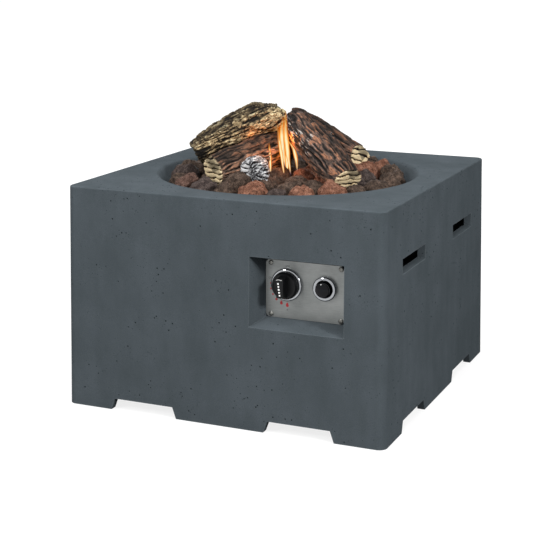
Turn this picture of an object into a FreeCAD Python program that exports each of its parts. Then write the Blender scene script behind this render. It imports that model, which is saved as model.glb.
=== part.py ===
import FreeCAD, Part

import math
import os
import re

import Sketcher

# A free-standing gas fire pit: a cast square body with a round bowl of lava rock and ceramic logs,
# a ring burner let into the bowl's floor, and a gas valve and spark igniter behind a steel plate.
# +Z is up, the front faces -Y, and the origin is the centre of the footprint on the floor.
# "Forward" sizes are distances from the vertical plane through the origin towards the front.

DRIVING_SIZES = {
    # Cast body, with draft from the wide base to the narrower top
    "base_width": 616.0,
    "top_width": 600.0,
    "body_height": 406.0,
    "corner_radius": 15.0,
    "edge_radius": 3.0,
    "wall": 14.0,
    "roof": 16.0,
    # Gaps between the feet, two on each face
    "foot_gap_inner": 85.0,
    "foot_gap_outer": 217.0,
    "foot_gap_height": 21.0,
    "foot_gap_draft": 7.5,
    # Hand slots in the side walls
    "slot_centre": 149.0,
    "slot_length": 130.0,
    "slot_bottom": 281.0,
    "slot_height": 29.5,
    "slot_taper": 5.0,
    # Bowl
    "bowl_radius": 245.0,
    "bowl_floor_radius": 200.0,
    "bowl_depth": 85.0,
    "bowl_wall": 14.0,
    "bowl_lip": 9.0,
    "bowl_corner": 22.0,
    # Control recess, which flares from the plate at its back to its mouth at the front
    "recess_depth": 46.0,
    "recess_side_flare": 16.5,
    "recess_level_flare": 12.6,
    "recess_wall": 12.0,
    # Control plate
    "control_height": 258.0,
    "plate_left": 72.0,
    "plate_drop": 60.5,
    "plate_width": 144.0,
    "plate_height": 102.0,
    "plate_corner": 8.0,
    "plate_sheet": 1.5,
    "plate_gap": 0.5,
    "plate_screw_left": 9.8,
    "plate_screw_right": 5.2,
    "plate_screw_level": 5.5,
    "window_margin": 8.0,
    # Screws and cast-in inserts
    "screw_radius": 2.0,
    "screw_head_radius": 4.2,
    "screw_head_height": 2.2,
    "screw_length": 9.0,
    "screw_hole_gap": 0.4,
    "insert_radius": 3.2,
    "insert_length": 9.5,
    # Gas knob and its chrome ring
    "knob_inset": 40.0,
    "dial_ring_radius": 28.5,
    "dial_ring_width": 4.0,
    "dial_ring_depth": 7.0,
    "knob_gap": 0.5,
    "knob_travel": 4.0,
    "knob_skirt": 4.0,
    "knob_body": 5.5,
    "knob_taper": 2.5,
    "knob_depth": 27.0,
    "grip_width": 13.0,
    "grip_crest": 33.0,
    "grip_end_gap": 2.5,
    # Valve
    "valve_neck_radius": 8.0,
    "valve_nut_radius": 12.5,
    "valve_nut_depth": 2.5,
    "valve_flange_width": 40.0,
    "valve_flange_height": 44.0,
    "valve_flange_depth": 3.0,
    "valve_width": 32.0,
    "valve_height": 36.0,
    "valve_depth": 54.0,
    "valve_port_setback": 34.0,
    "valve_port_radius": 9.0,
    "valve_port_length": 11.0,
    "valve_rear_radius": 8.0,
    "valve_rear_length": 5.0,
    "magnet_radius": 9.0,
    "magnet_length": 12.0,
    "spindle_radius": 4.0,
    "spindle_flat": 3.0,
    "spindle_length": 70.0,
    "spindle_setback": 6.0,
    "spring_bore_radius": 6.5,
    "spring_bore_depth": 26.0,
    "washer_depth": 2.0,
    "running_gap": 0.05,
    "spring_wire_radius": 0.5,
    "seat_gap": 0.3,
    # Gas inlet, a quarter inch pipe thread
    "inlet_hex_radius": 10.5,
    "inlet_hex_length": 10.0,
    "inlet_thread_radius": 6.58,
    "inlet_thread_length": 14.0,
    "inlet_bore_radius": 3.0,
    # Gas pipe
    "pipe_radius": 4.0,
    "pipe_bore_radius": 3.0,
    "pipe_bend": 30.0,
    "pipe_nut_radius": 8.5,
    "pipe_nut_length": 10.0,
    # Injector below the burner
    "injector_gap": 6.0,
    "elbow_half": 10.0,
    "elbow_top": 12.0,
    "elbow_reach": 12.0,
    "jet_collar_radius": 5.0,
    "jet_radius": 4.0,
    "jet_length": 10.0,
    "jet_bore_radius": 0.6,
    "bracket_sheet": 2.0,
    "bracket_half_span": 18.0,
    "bracket_foot": 10.0,
    "bracket_width": 24.0,
    # Burner pan and ring
    "pan_radius": 140.0,
    "pan_flange_width": 16.0,
    "pan_depth": 17.0,
    "pan_sheet": 1.5,
    "pan_gap": 2.0,
    "pan_screw_inset": 7.0,
    "ring_radius": 105.0,
    "ring_tube_radius": 9.0,
    "ring_tube_wall": 1.5,
    "ring_lift": 6.5,
    "port_radius": 1.2,
    "spoke_radius": 7.0,
    "hub_radius": 14.0,
    "mixer_radius": 9.0,
    "mixer_wall": 2.0,
    "mixer_drop": 28.0,
    "air_hole_radius": 4.0,
    "ring_foot_width": 20.0,
    "ring_foot_depth": 14.0,
    # Ignition point beside the ring
    "pilot_across": 28.0,
    "pilot_inset": 43.0,
    "pilot_spacing": 7.0,
    "pilot_plate_width": 30.0,
    "pilot_plate_depth": 14.0,
    "guard_width": 36.0,
    "guard_depth": 18.0,
    "guard_sheet": 1.2,
    "guard_foot": 6.0,
    "sensor_drop": 14.0,
    "sensor_radius": 3.0,
    "sensor_tip_radius": 1.6,
    "electrode_drop": 10.0,
    "electrode_radius": 3.0,
    "electrode_wire_radius": 0.9,
    "sensor_lead_radius": 1.2,
    "spark_lead_radius": 1.6,
    "sensor_lead_drop": 24.0,
    "spark_lead_drop": 27.0,
    # Igniter
    "igniter_inset": 33.7,
    "igniter_flange_radius": 20.5,
    "igniter_flange_depth": 1.2,
    "igniter_barrel_radius": 11.0,
    "igniter_barrel_wall": 1.0,
    "igniter_floor": 2.0,
    "igniter_spring_room": 12.7,
    "igniter_nut_radius": 16.0,
    "igniter_nut_depth": 6.0,
    "bezel_radius": 21.5,
    "bezel_bore_radius": 13.2,
    "bezel_depth": 6.8,
    "button_gap": 0.4,
    "button_travel": 3.0,
    "button_length": 14.8,
    "button_stem_length": 4.2,
    "battery_radius": 7.25,
    "battery_length": 50.5,
    "terminal_width": 6.0,
    "terminal_sheet": 0.8,
    "terminal_length": 10.0,
    "terminal_spacing": 5.0,
    # Lava rock
    "rock_radius": 27.5,
    "rock_gap": 0.3,
    "rock_floor_gap": 0.7,
    "rock_corner_gap": 2.1,
    "rock_rise": 16.0,
    "rock_layer_step": 42.0,
    "rock_margin": 47.0,
    "rock_pitch": 52.0,
    "rock_drift": 7.0,
    "rock_heave": 12.0,
    # Ceramic logs
    "log_gap": 0.35,
}

# Places and sizes that follow from the driving ones
DERIVED_SIZES = {
    "draft": "(base_width - top_width)/2/body_height",
    "bowl_floor": "body_height - bowl_depth",
    "slot_face": "base_width/2 - draft*(slot_bottom + slot_height/2)",
    "plate_bottom": "control_height - plate_drop",
    "plate_right": "plate_left + plate_width",
    "plate_top": "plate_bottom + plate_height",
    "recess_mouth": "max(base_width; top_width)/2",
    "recess_forward": "base_width/2 - recess_depth",
    "recess_left": "plate_left - recess_side_flare",
    "recess_right": "plate_right + recess_side_flare",
    "recess_bottom": "plate_bottom - recess_level_flare",
    "recess_top": "plate_top + recess_level_flare",
    "recess_foot": "recess_bottom - recess_wall",
    "recess_head": "recess_top + recess_wall",
    "plate_front": "recess_forward + plate_sheet",
    "knob_across": "plate_left + knob_inset",
    "igniter_across": "plate_right - igniter_inset",
    "window_left": "knob_across - valve_flange_width/2 - window_margin/2",
    "window_right": "igniter_across + igniter_nut_radius + window_margin/2",
    "window_bottom": "control_height - valve_flange_height/2 - window_margin/2",
    "window_top": "control_height + valve_flange_height/2 + window_margin/2",
    "dial_ring_bore": "dial_ring_radius - dial_ring_width",
    "dial_ring_front": "plate_front + dial_ring_depth",
    "knob_radius": "dial_ring_bore - knob_gap",
    "knob_back": "dial_ring_front + knob_gap",
    "knob_shoulder": "knob_back + knob_skirt",
    "knob_face": "knob_shoulder + knob_body",
    "knob_front": "knob_back + knob_depth",
    "spindle_front": "knob_front - spindle_setback",
    "valve_neck_front": "plate_front + valve_nut_depth",
    "valve_flange_back": "recess_forward - valve_flange_depth",
    "valve_back": "valve_flange_back - valve_depth",
    "valve_port_forward": "valve_flange_back - valve_port_setback",
    "valve_outlet_end": "knob_across - valve_width/2 - valve_port_length",
    "valve_inlet_end": "control_height - valve_height/2 - valve_port_length",
    "valve_rear_end": "valve_back - valve_rear_length",
    "magnet_end": "valve_rear_end - magnet_length",
    "spring_bore_end": "valve_neck_front - spring_bore_depth",
    "washer_front": "valve_neck_front - seat_gap",
    "washer_back": "washer_front - washer_depth",
    "spindle_back": "spindle_front - spindle_length",
    "pan_floor": "bowl_floor - pan_depth",
    "pan_flange_radius": "pan_radius + pan_flange_width",
    "pan_screw_circle": "pan_flange_radius - pan_screw_inset",
    "ring_height": "pan_floor + pan_sheet + ring_lift + ring_tube_radius",
    "bed_height": "ring_height + ring_tube_radius",
    "mixer_bottom": "pan_floor - mixer_drop",
    "elbow_top_height": "mixer_bottom - injector_gap",
    "injector_height": "elbow_top_height - elbow_top",
    "pilot_floor": "pan_floor + pan_sheet",
    "pilot_forward": "ring_radius - pilot_inset",
    "sensor_across": "pilot_across - pilot_spacing",
    "electrode_across": "pilot_across + pilot_spacing",
    "sensor_bottom": "pan_floor - sensor_drop",
    "electrode_bottom": "pan_floor - electrode_drop",
    "igniter_flange_front": "plate_front + igniter_flange_depth",
    "igniter_bore": "igniter_barrel_radius - igniter_barrel_wall",
    "bezel_front": "igniter_flange_front + bezel_depth",
    "button_radius": "bezel_bore_radius - button_gap",
    "button_back": "igniter_flange_front + button_travel + button_gap",
    "button_front": "button_back + button_length",
    "button_stem_back": "button_back - button_stem_length",
    "battery_front": "button_stem_back - igniter_spring_room",
    "battery_back": "battery_front - battery_length",
    "igniter_back": "battery_back - seat_gap - igniter_floor",
    "terminal_back": "igniter_back - terminal_length",
    "rock_lower_height": "bed_height + rock_rise",
    "rock_upper_height": "rock_lower_height + rock_layer_step",
    "rock_spread": "bowl_radius - rock_margin",
    "bowl_slope": "(bowl_radius - bowl_floor_radius)/bowl_depth",
}

PORT_COUNT = 20
IGNITER_SPRING_TURNS = 3

# A rock is a ball cut by this many sides, each this far out as a share of its radius.
ROCK_SIDES = 18
ROCK_SIDE_NEAR = 0.88
ROCK_SIDE_SCATTER = 0.2
# A rock that keeps less of itself than this where a log lies is left out.
ROCK_LEAST_SHARE = 0.15
# Bearings about a rock's own, in radians, at which it is held off the bowl's round wall.
WALL_BEARINGS = (-0.12, -0.06, 0.0, 0.06, 0.12)

TURN_UP = FreeCAD.Rotation()
TURN_FRONT = FreeCAD.Rotation(FreeCAD.Vector(1, 0, 0), 90)
TURN_LEFT = FreeCAD.Rotation(FreeCAD.Vector(0, 1, 0), -90)
TURN_DOWN = FreeCAD.Rotation(FreeCAD.Vector(1, 0, 0), 180)

doc = FreeCAD.newDocument("gas_fire_pit")
sheet = doc.addObject("Spreadsheet::Sheet", "size")
subparts = []


def fill_sheet():
    """Write each driving size to its own cell, beside its name."""
    for row, (name, number) in enumerate(DRIVING_SIZES.items(), start=1):
        sheet.set("A%d" % row, name)
        sheet.set("B%d" % row, str(number))
        sheet.setAlias("B%d" % row, name)
    doc.recompute()


def bound(expression):
    """Spell out a size expression in cells of the sheet."""

    def spell(match):
        word = match.group(0)
        if word in DRIVING_SIZES:
            return "size." + word
        if word in DERIVED_SIZES:
            return "(" + bound(DERIVED_SIZES[word]) + ")"
        return word

    return re.sub(r"[a-z][a-z_]*", spell, expression)


def number(expression):
    """The value of a size expression."""
    result = sheet.evalExpression(bound(expression))
    return float(getattr(result, "Value", result))


def keep(piece, label):
    """Name a finished sub-part and list it for export."""
    piece.Label = label
    subparts.append(piece)
    return piece


def new_body(label):
    """Start a sub-part as a body."""
    return keep(doc.addObject("PartDesign::Body", label + "_body"), label)


def origin_feature(body, role):
    """The body's own origin plane or axis with this role."""
    return [item for item in body.Origin.OriginFeatures if item.Role == role][0]


def feature(body, kind, name, **sizes):
    """Add a feature whose properties follow size expressions."""
    item = body.newObject("PartDesign::" + kind, name)
    for size_name, expression in sizes.items():
        item.setExpression(size_name, bound(expression))
    return item


def put(item, x="0", y="0", z="0", turn=TURN_UP):
    """Turn an object and tie its place to size expressions."""
    item.Placement = FreeCAD.Placement(FreeCAD.Vector(), turn)
    item.setExpression("Placement.Base.x", bound(x))
    item.setExpression("Placement.Base.y", bound(y))
    item.setExpression("Placement.Base.z", bound(z))
    return item


def add_cylinder(body, name, radius, height, x="0", y="0", z="0", turn=TURN_UP, kind="Additive"):
    """Add or cut a round bar that starts at a point and runs along its turned axis."""
    bar = feature(body, kind + "Cylinder", name, Radius=radius, Height=height)
    return put(bar, x, y, z, turn)


def cut_cylinder(body, name, radius, height, x="0", y="0", z="0", turn=TURN_UP):
    """Cut a round hole that starts at a point and runs along its turned axis."""
    return add_cylinder(body, name, radius, height, x, y, z, turn, kind="Subtractive")


def add_box(body, name, x_span, y_span, z_span, kind="Additive"):
    """Add or cut a block between pairs of size expressions."""
    lengths = ["(%s) - (%s)" % (high, low) for low, high in (x_span, y_span, z_span)]
    block = feature(body, kind + "Box", name, Length=lengths[0], Width=lengths[1], Height=lengths[2])
    return put(block, x_span[0], y_span[0], z_span[0])


def cut_box(body, name, x_span, y_span, z_span):
    """Cut a block between pairs of size expressions."""
    return add_box(body, name, x_span, y_span, z_span, kind="Subtractive")


def add_hexagon(body, name, circumradius, height, x="0", y="0", z="0", turn=TURN_UP):
    """Add a hexagonal bar that starts at a point and runs along its turned axis."""
    bar = feature(body, "AdditivePrism", name, Circumradius=circumradius, Height=height)
    bar.Polygon = 6
    return put(bar, x, y, z, turn)


def middle(centre, width):
    """The two ends of a width about a centre."""
    return ("%s - (%s)/2" % (centre, width), "%s + (%s)/2" % (centre, width))


def outline(body, name, role, loops):
    """Sketch closed outlines whose corners follow size expressions."""
    sketch = body.newObject("Sketcher::SketchObject", name)
    sketch.AttachmentSupport = [(origin_feature(body, role), "")]
    sketch.MapMode = "FlatFace"
    ties = []
    for corners in loops:
        first = sketch.GeometryCount
        places = [FreeCAD.Vector(number(across), number(up), 0) for across, up in corners]
        for index, place in enumerate(places):
            following = places[(index + 1) % len(places)]
            sketch.addGeometry(Part.LineSegment(place, following), False)
        for index, place in enumerate(places):
            line = first + index
            following = first + (index + 1) % len(places)
            sketch.addConstraint(Sketcher.Constraint("Coincident", line, 2, following, 1))
            across = sketch.addConstraint(Sketcher.Constraint("DistanceX", -1, 1, line, 1, place.x))
            up = sketch.addConstraint(Sketcher.Constraint("DistanceY", -1, 1, line, 1, place.y))
            ties += [(across, corners[index][0]), (up, corners[index][1])]
    for constraint, expression in ties:
        sketch.setExpression("Constraints[%d]" % constraint, bound(expression))
    return sketch


def revolve(body, name, corners, kind="Revolution"):
    """Turn an outline of radius and height round the body's upright axis, as metal or as a groove."""
    sketch = outline(body, name + "_outline", "XZ_Plane", [corners])
    turned = body.newObject("PartDesign::" + kind, name)
    turned.Profile = sketch
    turned.ReferenceAxis = (sketch, ["V_Axis"])
    turned.Angle = 360
    return turned


def turned_part(label, corners, x="0", z="0"):
    """A turned sub-part whose axis points to the front, from corners of radius and forward distance."""
    body = new_body(label)
    revolve(body, label + "_turned", corners)
    put(body, x=x, z=z, turn=TURN_FRONT)
    return body


def round_edges(body, name, radius, test, kind="Fillet"):
    """Round or bevel the tip's edges that pass a test."""
    doc.recompute()
    base = body.Tip
    names = ["Edge%d" % (index + 1) for index, edge in enumerate(base.Shape.Edges) if test(edge)]
    dressed = body.newObject("PartDesign::" + kind, name)
    dressed.Base = (base, names)
    dressed.setExpression("Radius" if kind == "Fillet" else "Size", bound(radius))
    return dressed


def polar_copies(body, name, original, count):
    """Repeat a feature evenly round the body's upright axis."""
    pattern = body.newObject("PartDesign::PolarPattern", name)
    pattern.Originals = [original]
    pattern.Axis = (origin_feature(body, "Z_Axis"), [""])
    pattern.Angle = 360
    pattern.Occurrences = count
    body.Tip = pattern
    return pattern


def near(first, second, tolerance=0.02):
    """Whether two sizes agree."""
    return abs(first - second) < tolerance


def level_edge(height):
    """A test for edges that lie at one height."""
    return lambda edge: near(edge.BoundBox.ZMin, height) and near(edge.BoundBox.ZMax, height)


def circle_edge(radius, height):
    """A test for a full circle about the upright axis."""
    level = level_edge(height)
    return lambda edge: level(edge) and near(edge.BoundBox.XMax, radius) and near(edge.BoundBox.YMax, radius)


def copies(label, master, places):
    """A sub-part of equal solids: one master shape at several placements."""
    doc.recompute()
    group = doc.addObject("Part::Feature", label + "_group")
    shape = master.Shape
    group.Shape = Part.makeCompound([shape.transformed(place.toMatrix(), True) for place in places])
    return keep(group, label)


def rounded_path(points, bend=None):
    """Straight runs joined by tangent arcs, as a wire, with the arcs' radii.

    A point in line with its neighbours needs no arc.
    """
    edges = []
    radii = []
    start = points[0]
    for before, corner, after in zip(points, points[1:], points[2:]):
        back = (before - corner).normalize()
        ahead = (after - corner).normalize()
        turn = math.pi - back.getAngle(ahead)
        if turn < 1e-6:
            continue
        shorter = min((before - corner).Length, (after - corner).Length)
        radius = bend or 0.45 * shorter / math.tan(turn / 2)
        reach = radius * math.tan(turn / 2)
        enter = corner + back * reach
        leave = corner + ahead * reach
        inward = (back + ahead).normalize()
        crown = corner + inward * (radius / math.cos(turn / 2) - radius)
        edges.append(Part.LineSegment(start, enter).toShape())
        edges.append(Part.Arc(enter, crown, leave).toShape())
        radii.append(radius)
        start = leave
    edges.append(Part.LineSegment(start, points[-1]).toShape())
    return Part.Wire(edges), radii


def tube(label, points, radius, bore=None, bend=None):
    """A sub-part bent from round bar or tube along a path."""
    path, radii = rounded_path(points, bend)
    direction = points[1] - points[0]

    def swept(section_radius):
        ring = Part.Wire([Part.makeCircle(section_radius, points[0], direction)])
        return path.makePipeShell([ring], True, False)

    solid = swept(radius)
    expected = math.pi * radius ** 2 * path.Length
    print("%s: length %.1f, radii %s, volume share %.4f"
          % (label, path.Length, ["%.1f" % item for item in radii], solid.Volume / expected))
    if bore:
        solid = solid.cut(swept(bore))
    piece = doc.addObject("Part::Feature", label + "_bent")
    piece.Shape = solid
    return keep(piece, label)


def coil_spring(label, coil_radius, start, end, turns, across):
    """A compression spring along the forward direction, between two forward distances."""
    low, high, wire = number(start), number(end), number("spring_wire_radius")
    length = high - low - 2 * wire
    helix = doc.addObject("Part::Helix", label + "_helix")
    helix.Pitch = length / turns
    helix.Height = length
    helix.Radius = number(coil_radius)
    section = doc.addObject("Part::Circle", label + "_wire")
    section.Radius = wire
    section.Placement = FreeCAD.Placement(FreeCAD.Vector(helix.Radius.Value, 0, 0), TURN_FRONT)
    spring = doc.addObject("Part::Sweep", label + "_sweep")
    spring.Sections = [section]
    spring.Spine = (helix, [])
    spring.Solid = True
    spring.Frenet = True
    place = FreeCAD.Vector(number(across), -(low + wire), number("control_height"))
    spring.Placement = FreeCAD.Placement(place, TURN_FRONT)
    return keep(spring, label)


def make_outer_shell():
    """Cast body: drafted walls, feet, hand slots, bowl and control recess in one piece."""
    body = new_body("outer_shell")
    outer = {"Xmin": "-base_width/2", "Xmax": "base_width/2", "Zmin": "-base_width/2",
             "Zmax": "base_width/2", "X2min": "-top_width/2", "X2max": "top_width/2",
             "Z2min": "-top_width/2", "Z2max": "top_width/2", "Ymin": "0", "Ymax": "body_height"}
    put(feature(body, "AdditiveWedge", "outer_block", **outer), turn=TURN_FRONT)
    top = number("body_height")
    upright = lambda edge: edge.BoundBox.ZLength > top / 2
    round_edges(body, "rounded_corners", "corner_radius", upright)
    round_edges(body, "rounded_top", "edge_radius", level_edge(top))
    low = "base_width/2 - wall"
    high = "base_width/2 - wall - draft*(body_height - roof)"
    inner = {"Xmin": "-(%s)" % low, "Xmax": low, "Zmin": "-(%s)" % low, "Zmax": low,
             "X2min": "-(%s)" % high, "X2max": high, "Z2min": "-(%s)" % high, "Z2max": high,
             "Ymin": "0", "Ymax": "body_height - roof"}
    put(feature(body, "SubtractiveWedge", "cavity", **inner), turn=TURN_FRONT)
    add_bowl(body)
    add_recess(body)
    cut_slots(body)
    cut_foot_gaps(body)
    return body


def add_bowl(body):
    """The bowl's wall, its inside, the rim and the hole for the burner pan."""
    roof_middle = "body_height - roof/2"
    revolve(body, "bowl_skin", [
        ("0", "bowl_floor - bowl_wall"),
        ("bowl_floor_radius + bowl_wall/2", "bowl_floor - bowl_wall"),
        ("bowl_radius + bowl_wall - bowl_slope*roof/2", roof_middle),
        ("0", roof_middle)])
    revolve(body, "bowl_inside", [
        ("0", "bowl_floor"),
        ("bowl_floor_radius", "bowl_floor"),
        ("bowl_radius", "body_height"),
        ("0", "body_height")], kind="Groove")
    round_edges(body, "bowl_rim", "bowl_lip",
                circle_edge(number("bowl_radius"), number("body_height")))
    round_edges(body, "bowl_base", "bowl_corner",
                circle_edge(number("bowl_floor_radius"), number("bowl_floor")))
    cut_cylinder(body, "burner_hole", "pan_radius + pan_gap", "2*bowl_wall",
                 z="bowl_floor - 1.5*bowl_wall")
    hole = cut_cylinder(body, "pan_insert_hole", "insert_radius", "insert_length",
                        x="pan_screw_circle*sqrt(0.5)", y="pan_screw_circle*sqrt(0.5)",
                        z="bowl_floor - insert_length")
    polar_copies(body, "pan_insert_holes", hole, 4)


def add_recess(body):
    """The control recess with its own walls, the window behind the plate and the insert holes."""
    block = {"Xmin": "recess_left - recess_wall", "Xmax": "recess_right + recess_wall",
             "X2min": "recess_left - recess_wall", "X2max": "recess_right + recess_wall",
             "Zmin": "recess_forward - recess_wall", "Z2min": "recess_forward - recess_wall",
             "Zmax": "base_width/2 - draft*recess_foot - wall/2",
             "Z2max": "base_width/2 - draft*recess_head - wall/2",
             "Ymin": "recess_foot", "Ymax": "recess_head"}
    put(feature(body, "AdditiveWedge", "recess_block", **block), turn=TURN_FRONT)
    hollow = {"Xmin": "recess_left", "Xmax": "recess_right", "Zmin": "recess_bottom",
              "Zmax": "recess_top", "X2min": "plate_left - plate_gap",
              "X2max": "plate_right + plate_gap", "Z2min": "plate_bottom - plate_gap",
              "Z2max": "plate_top + plate_gap", "Ymin": "-recess_mouth", "Ymax": "-recess_forward"}
    feature(body, "SubtractiveWedge", "recess_hollow", **hollow)
    cut_box(body, "panel_window", ("window_left", "window_right"),
            ("-(recess_forward + 1)", "-(recess_forward - 2*recess_wall)"),
            ("window_bottom", "window_top"))
    for across, up in screw_places():
        cut_cylinder(body, "plate_insert_hole", "insert_radius", "insert_length + 1", x=across,
                     y="-(recess_forward - insert_length)", z=up, turn=TURN_FRONT)


def screw_places():
    """The four plate screws, as expressions of X and Z."""
    return [(across, up)
            for across in ("plate_left + plate_screw_left", "plate_right - plate_screw_right")
            for up in ("plate_bottom + plate_screw_level", "plate_top - plate_screw_level")]


def cut_slots(body):
    """Two tapered hand slots through each side wall."""
    for turn_angle in (90, -90):
        for sign in ("", "-"):
            centre = sign + "slot_centre"
            slot = {"Xmin": centre + " - slot_length/2 + slot_taper",
                    "Xmax": centre + " + slot_length/2 - slot_taper",
                    "Zmin": "slot_bottom + slot_taper",
                    "Zmax": "slot_bottom + slot_height - slot_taper",
                    "X2min": centre + " - slot_length/2", "X2max": centre + " + slot_length/2",
                    "Z2min": "slot_bottom", "Z2max": "slot_bottom + slot_height",
                    "Ymin": "slot_face - 1.5*wall", "Ymax": "slot_face + wall/2"}
            cut = feature(body, "SubtractiveWedge", "hand_slot", **slot)
            put(cut, turn=FreeCAD.Rotation(FreeCAD.Vector(0, 0, 1), turn_angle))


def cut_foot_gaps(body):
    """The gaps that leave three feet under each wall."""
    for role in ("XZ_Plane", "YZ_Plane"):
        gaps = [[(sign + "foot_gap_inner", "0"), (sign + "foot_gap_outer", "0"),
                 (sign + "(foot_gap_outer - foot_gap_draft)", "foot_gap_height"),
                 (sign + "(foot_gap_inner + foot_gap_draft)", "foot_gap_height")]
                for sign in ("", "-")]
        sketch = outline(body, "foot_gaps_" + role[:2].lower(), role, gaps)
        pocket = body.newObject("PartDesign::Pocket", "foot_gap_cut_" + role[:2].lower())
        pocket.Profile = sketch
        pocket.Type = "ThroughAll"
        pocket.SideType = "Symmetric"


def make_insert(name):
    """A threaded insert along Z with its mouth at the origin; the thread's core is left plain."""
    body = doc.addObject("PartDesign::Body", name)
    add_cylinder(body, name + "_sleeve", "insert_radius", "insert_length", z="-insert_length")
    cut_cylinder(body, name + "_bore", "screw_radius", "insert_length + 1", z="-insert_length - 0.5")
    return body


def make_screw(name):
    """A pan head screw along Z with its head's seat at the origin."""
    body = doc.addObject("PartDesign::Body", name)
    revolve(body, name + "_turned", [
        ("0", "-screw_length"), ("screw_radius*0.7", "-screw_length"),
        ("screw_radius", "-screw_length + screw_radius*0.5"), ("screw_radius", "0"),
        ("screw_head_radius", "0"), ("screw_head_radius", "screw_head_height*0.45"),
        ("screw_head_radius*0.72", "screw_head_height*0.88"),
        ("screw_head_radius*0.35", "screw_head_height"),
        ("0", "screw_head_height")])
    arm = ("-screw_head_radius*0.6", "screw_head_radius*0.6")
    blade = ("-screw_head_radius*0.12", "screw_head_radius*0.12")
    depth = ("screw_head_height*0.4", "screw_head_height + 1")
    cut_box(body, name + "_slot", arm, blade, depth)
    cut_box(body, name + "_cross_slot", blade, arm, depth)
    return body


def plate_placements(forward):
    """The plate's four corner places at one forward distance, facing the front."""
    return [FreeCAD.Placement(FreeCAD.Vector(number(across), -number(forward), number(up)), TURN_FRONT)
            for across, up in screw_places()]


def pan_placements(height):
    """The pan's four screw places at one height, facing up."""
    circle = number("pan_screw_circle")
    return [FreeCAD.Placement(FreeCAD.Vector(circle * math.cos(angle), circle * math.sin(angle),
                                             number(height)), TURN_UP)
            for angle in (math.radians(45 + 90 * step) for step in range(4))]


def make_fasteners():
    """The screws of the plate and pan, and the inserts that they grip."""
    insert = make_insert("insert_master")
    screw = make_screw("screw_master")
    copies("plate_inserts", insert, plate_placements("recess_forward"))
    copies("pan_inserts", insert, pan_placements("bowl_floor"))
    copies("plate_screws", screw, plate_placements("plate_front"))
    copies("pan_screws", screw, pan_placements("bowl_floor + pan_sheet"))


def make_control_plate():
    """Steel plate in the recess, with holes for the valve's neck, the igniter and four screws."""
    body = new_body("control_plate")
    add_box(body, "plate_sheet_metal", ("plate_left", "plate_right"),
            ("-plate_front", "-recess_forward"), ("plate_bottom", "plate_top"))
    thickness = number("plate_sheet")
    round_edges(body, "plate_corners", "plate_corner",
                lambda edge: near(edge.BoundBox.YLength, thickness) and near(edge.Length, thickness))
    depth = "plate_sheet + 2"
    start = "-recess_forward + 1"
    cut_cylinder(body, "neck_hole", "valve_neck_radius + plate_gap/2", depth, x="knob_across",
                 y=start, z="control_height", turn=TURN_FRONT)
    cut_cylinder(body, "igniter_hole", "igniter_barrel_radius + plate_gap/2", depth,
                 x="igniter_across", y=start, z="control_height", turn=TURN_FRONT)
    for across, up in screw_places():
        cut_cylinder(body, "plate_screw_hole", "screw_radius + screw_hole_gap", depth, x=across,
                     y=start, z=up, turn=TURN_FRONT)
    return body


def make_dial_ring():
    """Chrome ring that frames the knob."""
    body = turned_part("dial_ring", [
        ("dial_ring_bore", "plate_front"), ("dial_ring_radius", "plate_front"),
        ("dial_ring_radius", "dial_ring_front"), ("dial_ring_bore", "dial_ring_front")],
        x="knob_across", z="control_height")
    outer = number("dial_ring_radius")
    front = number("dial_ring_front")
    round_edges(body, "dial_ring_crown", "dial_ring_width*0.7",
                lambda edge: near(edge.BoundBox.ZMin, front) and near(edge.BoundBox.XMax, outer))
    return body


def make_control_knob():
    """Black knob: skirt, sloped body with a face groove, grip bar and a flatted bore."""
    body = turned_part("control_knob", [
        ("0", "knob_back"), ("knob_radius", "knob_back"), ("knob_radius", "knob_shoulder"),
        ("knob_radius - knob_taper", "knob_face"), ("knob_radius - 2*knob_taper", "knob_face"),
        ("knob_radius - 2*knob_taper", "knob_face - 1"), ("0", "knob_face - 1")],
        x="knob_across", z="control_height")
    reach = "knob_radius - grip_end_gap"
    pad_across(body, "grip", [
        ("-(%s)" % reach, "knob_shoulder"), (reach, "knob_shoulder"),
        ("grip_crest/2", "knob_front"), ("-grip_crest/2", "knob_front")], "grip_width", "YZ_Plane")
    front = number("knob_front")
    shoulder = number("knob_face")
    half = number("grip_width") / 2

    def grip_corner(edge):
        box = edge.BoundBox
        return box.ZMin > shoulder - 0.1 and near(box.ZMax, front) and near(abs(box.XMin), half)

    round_edges(body, "grip_round", "grip_width*0.16", grip_corner)
    cut_cylinder(body, "spindle_bore", "spindle_radius + running_gap",
                 "spindle_front + seat_gap - knob_back + 1", z="knob_back - 1")
    add_box(body, "bore_flat", ("-spindle_radius", "spindle_radius"),
            ("spindle_flat + running_gap", "spindle_radius + 1"),
            ("knob_back", "spindle_front + seat_gap"))
    return body


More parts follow.
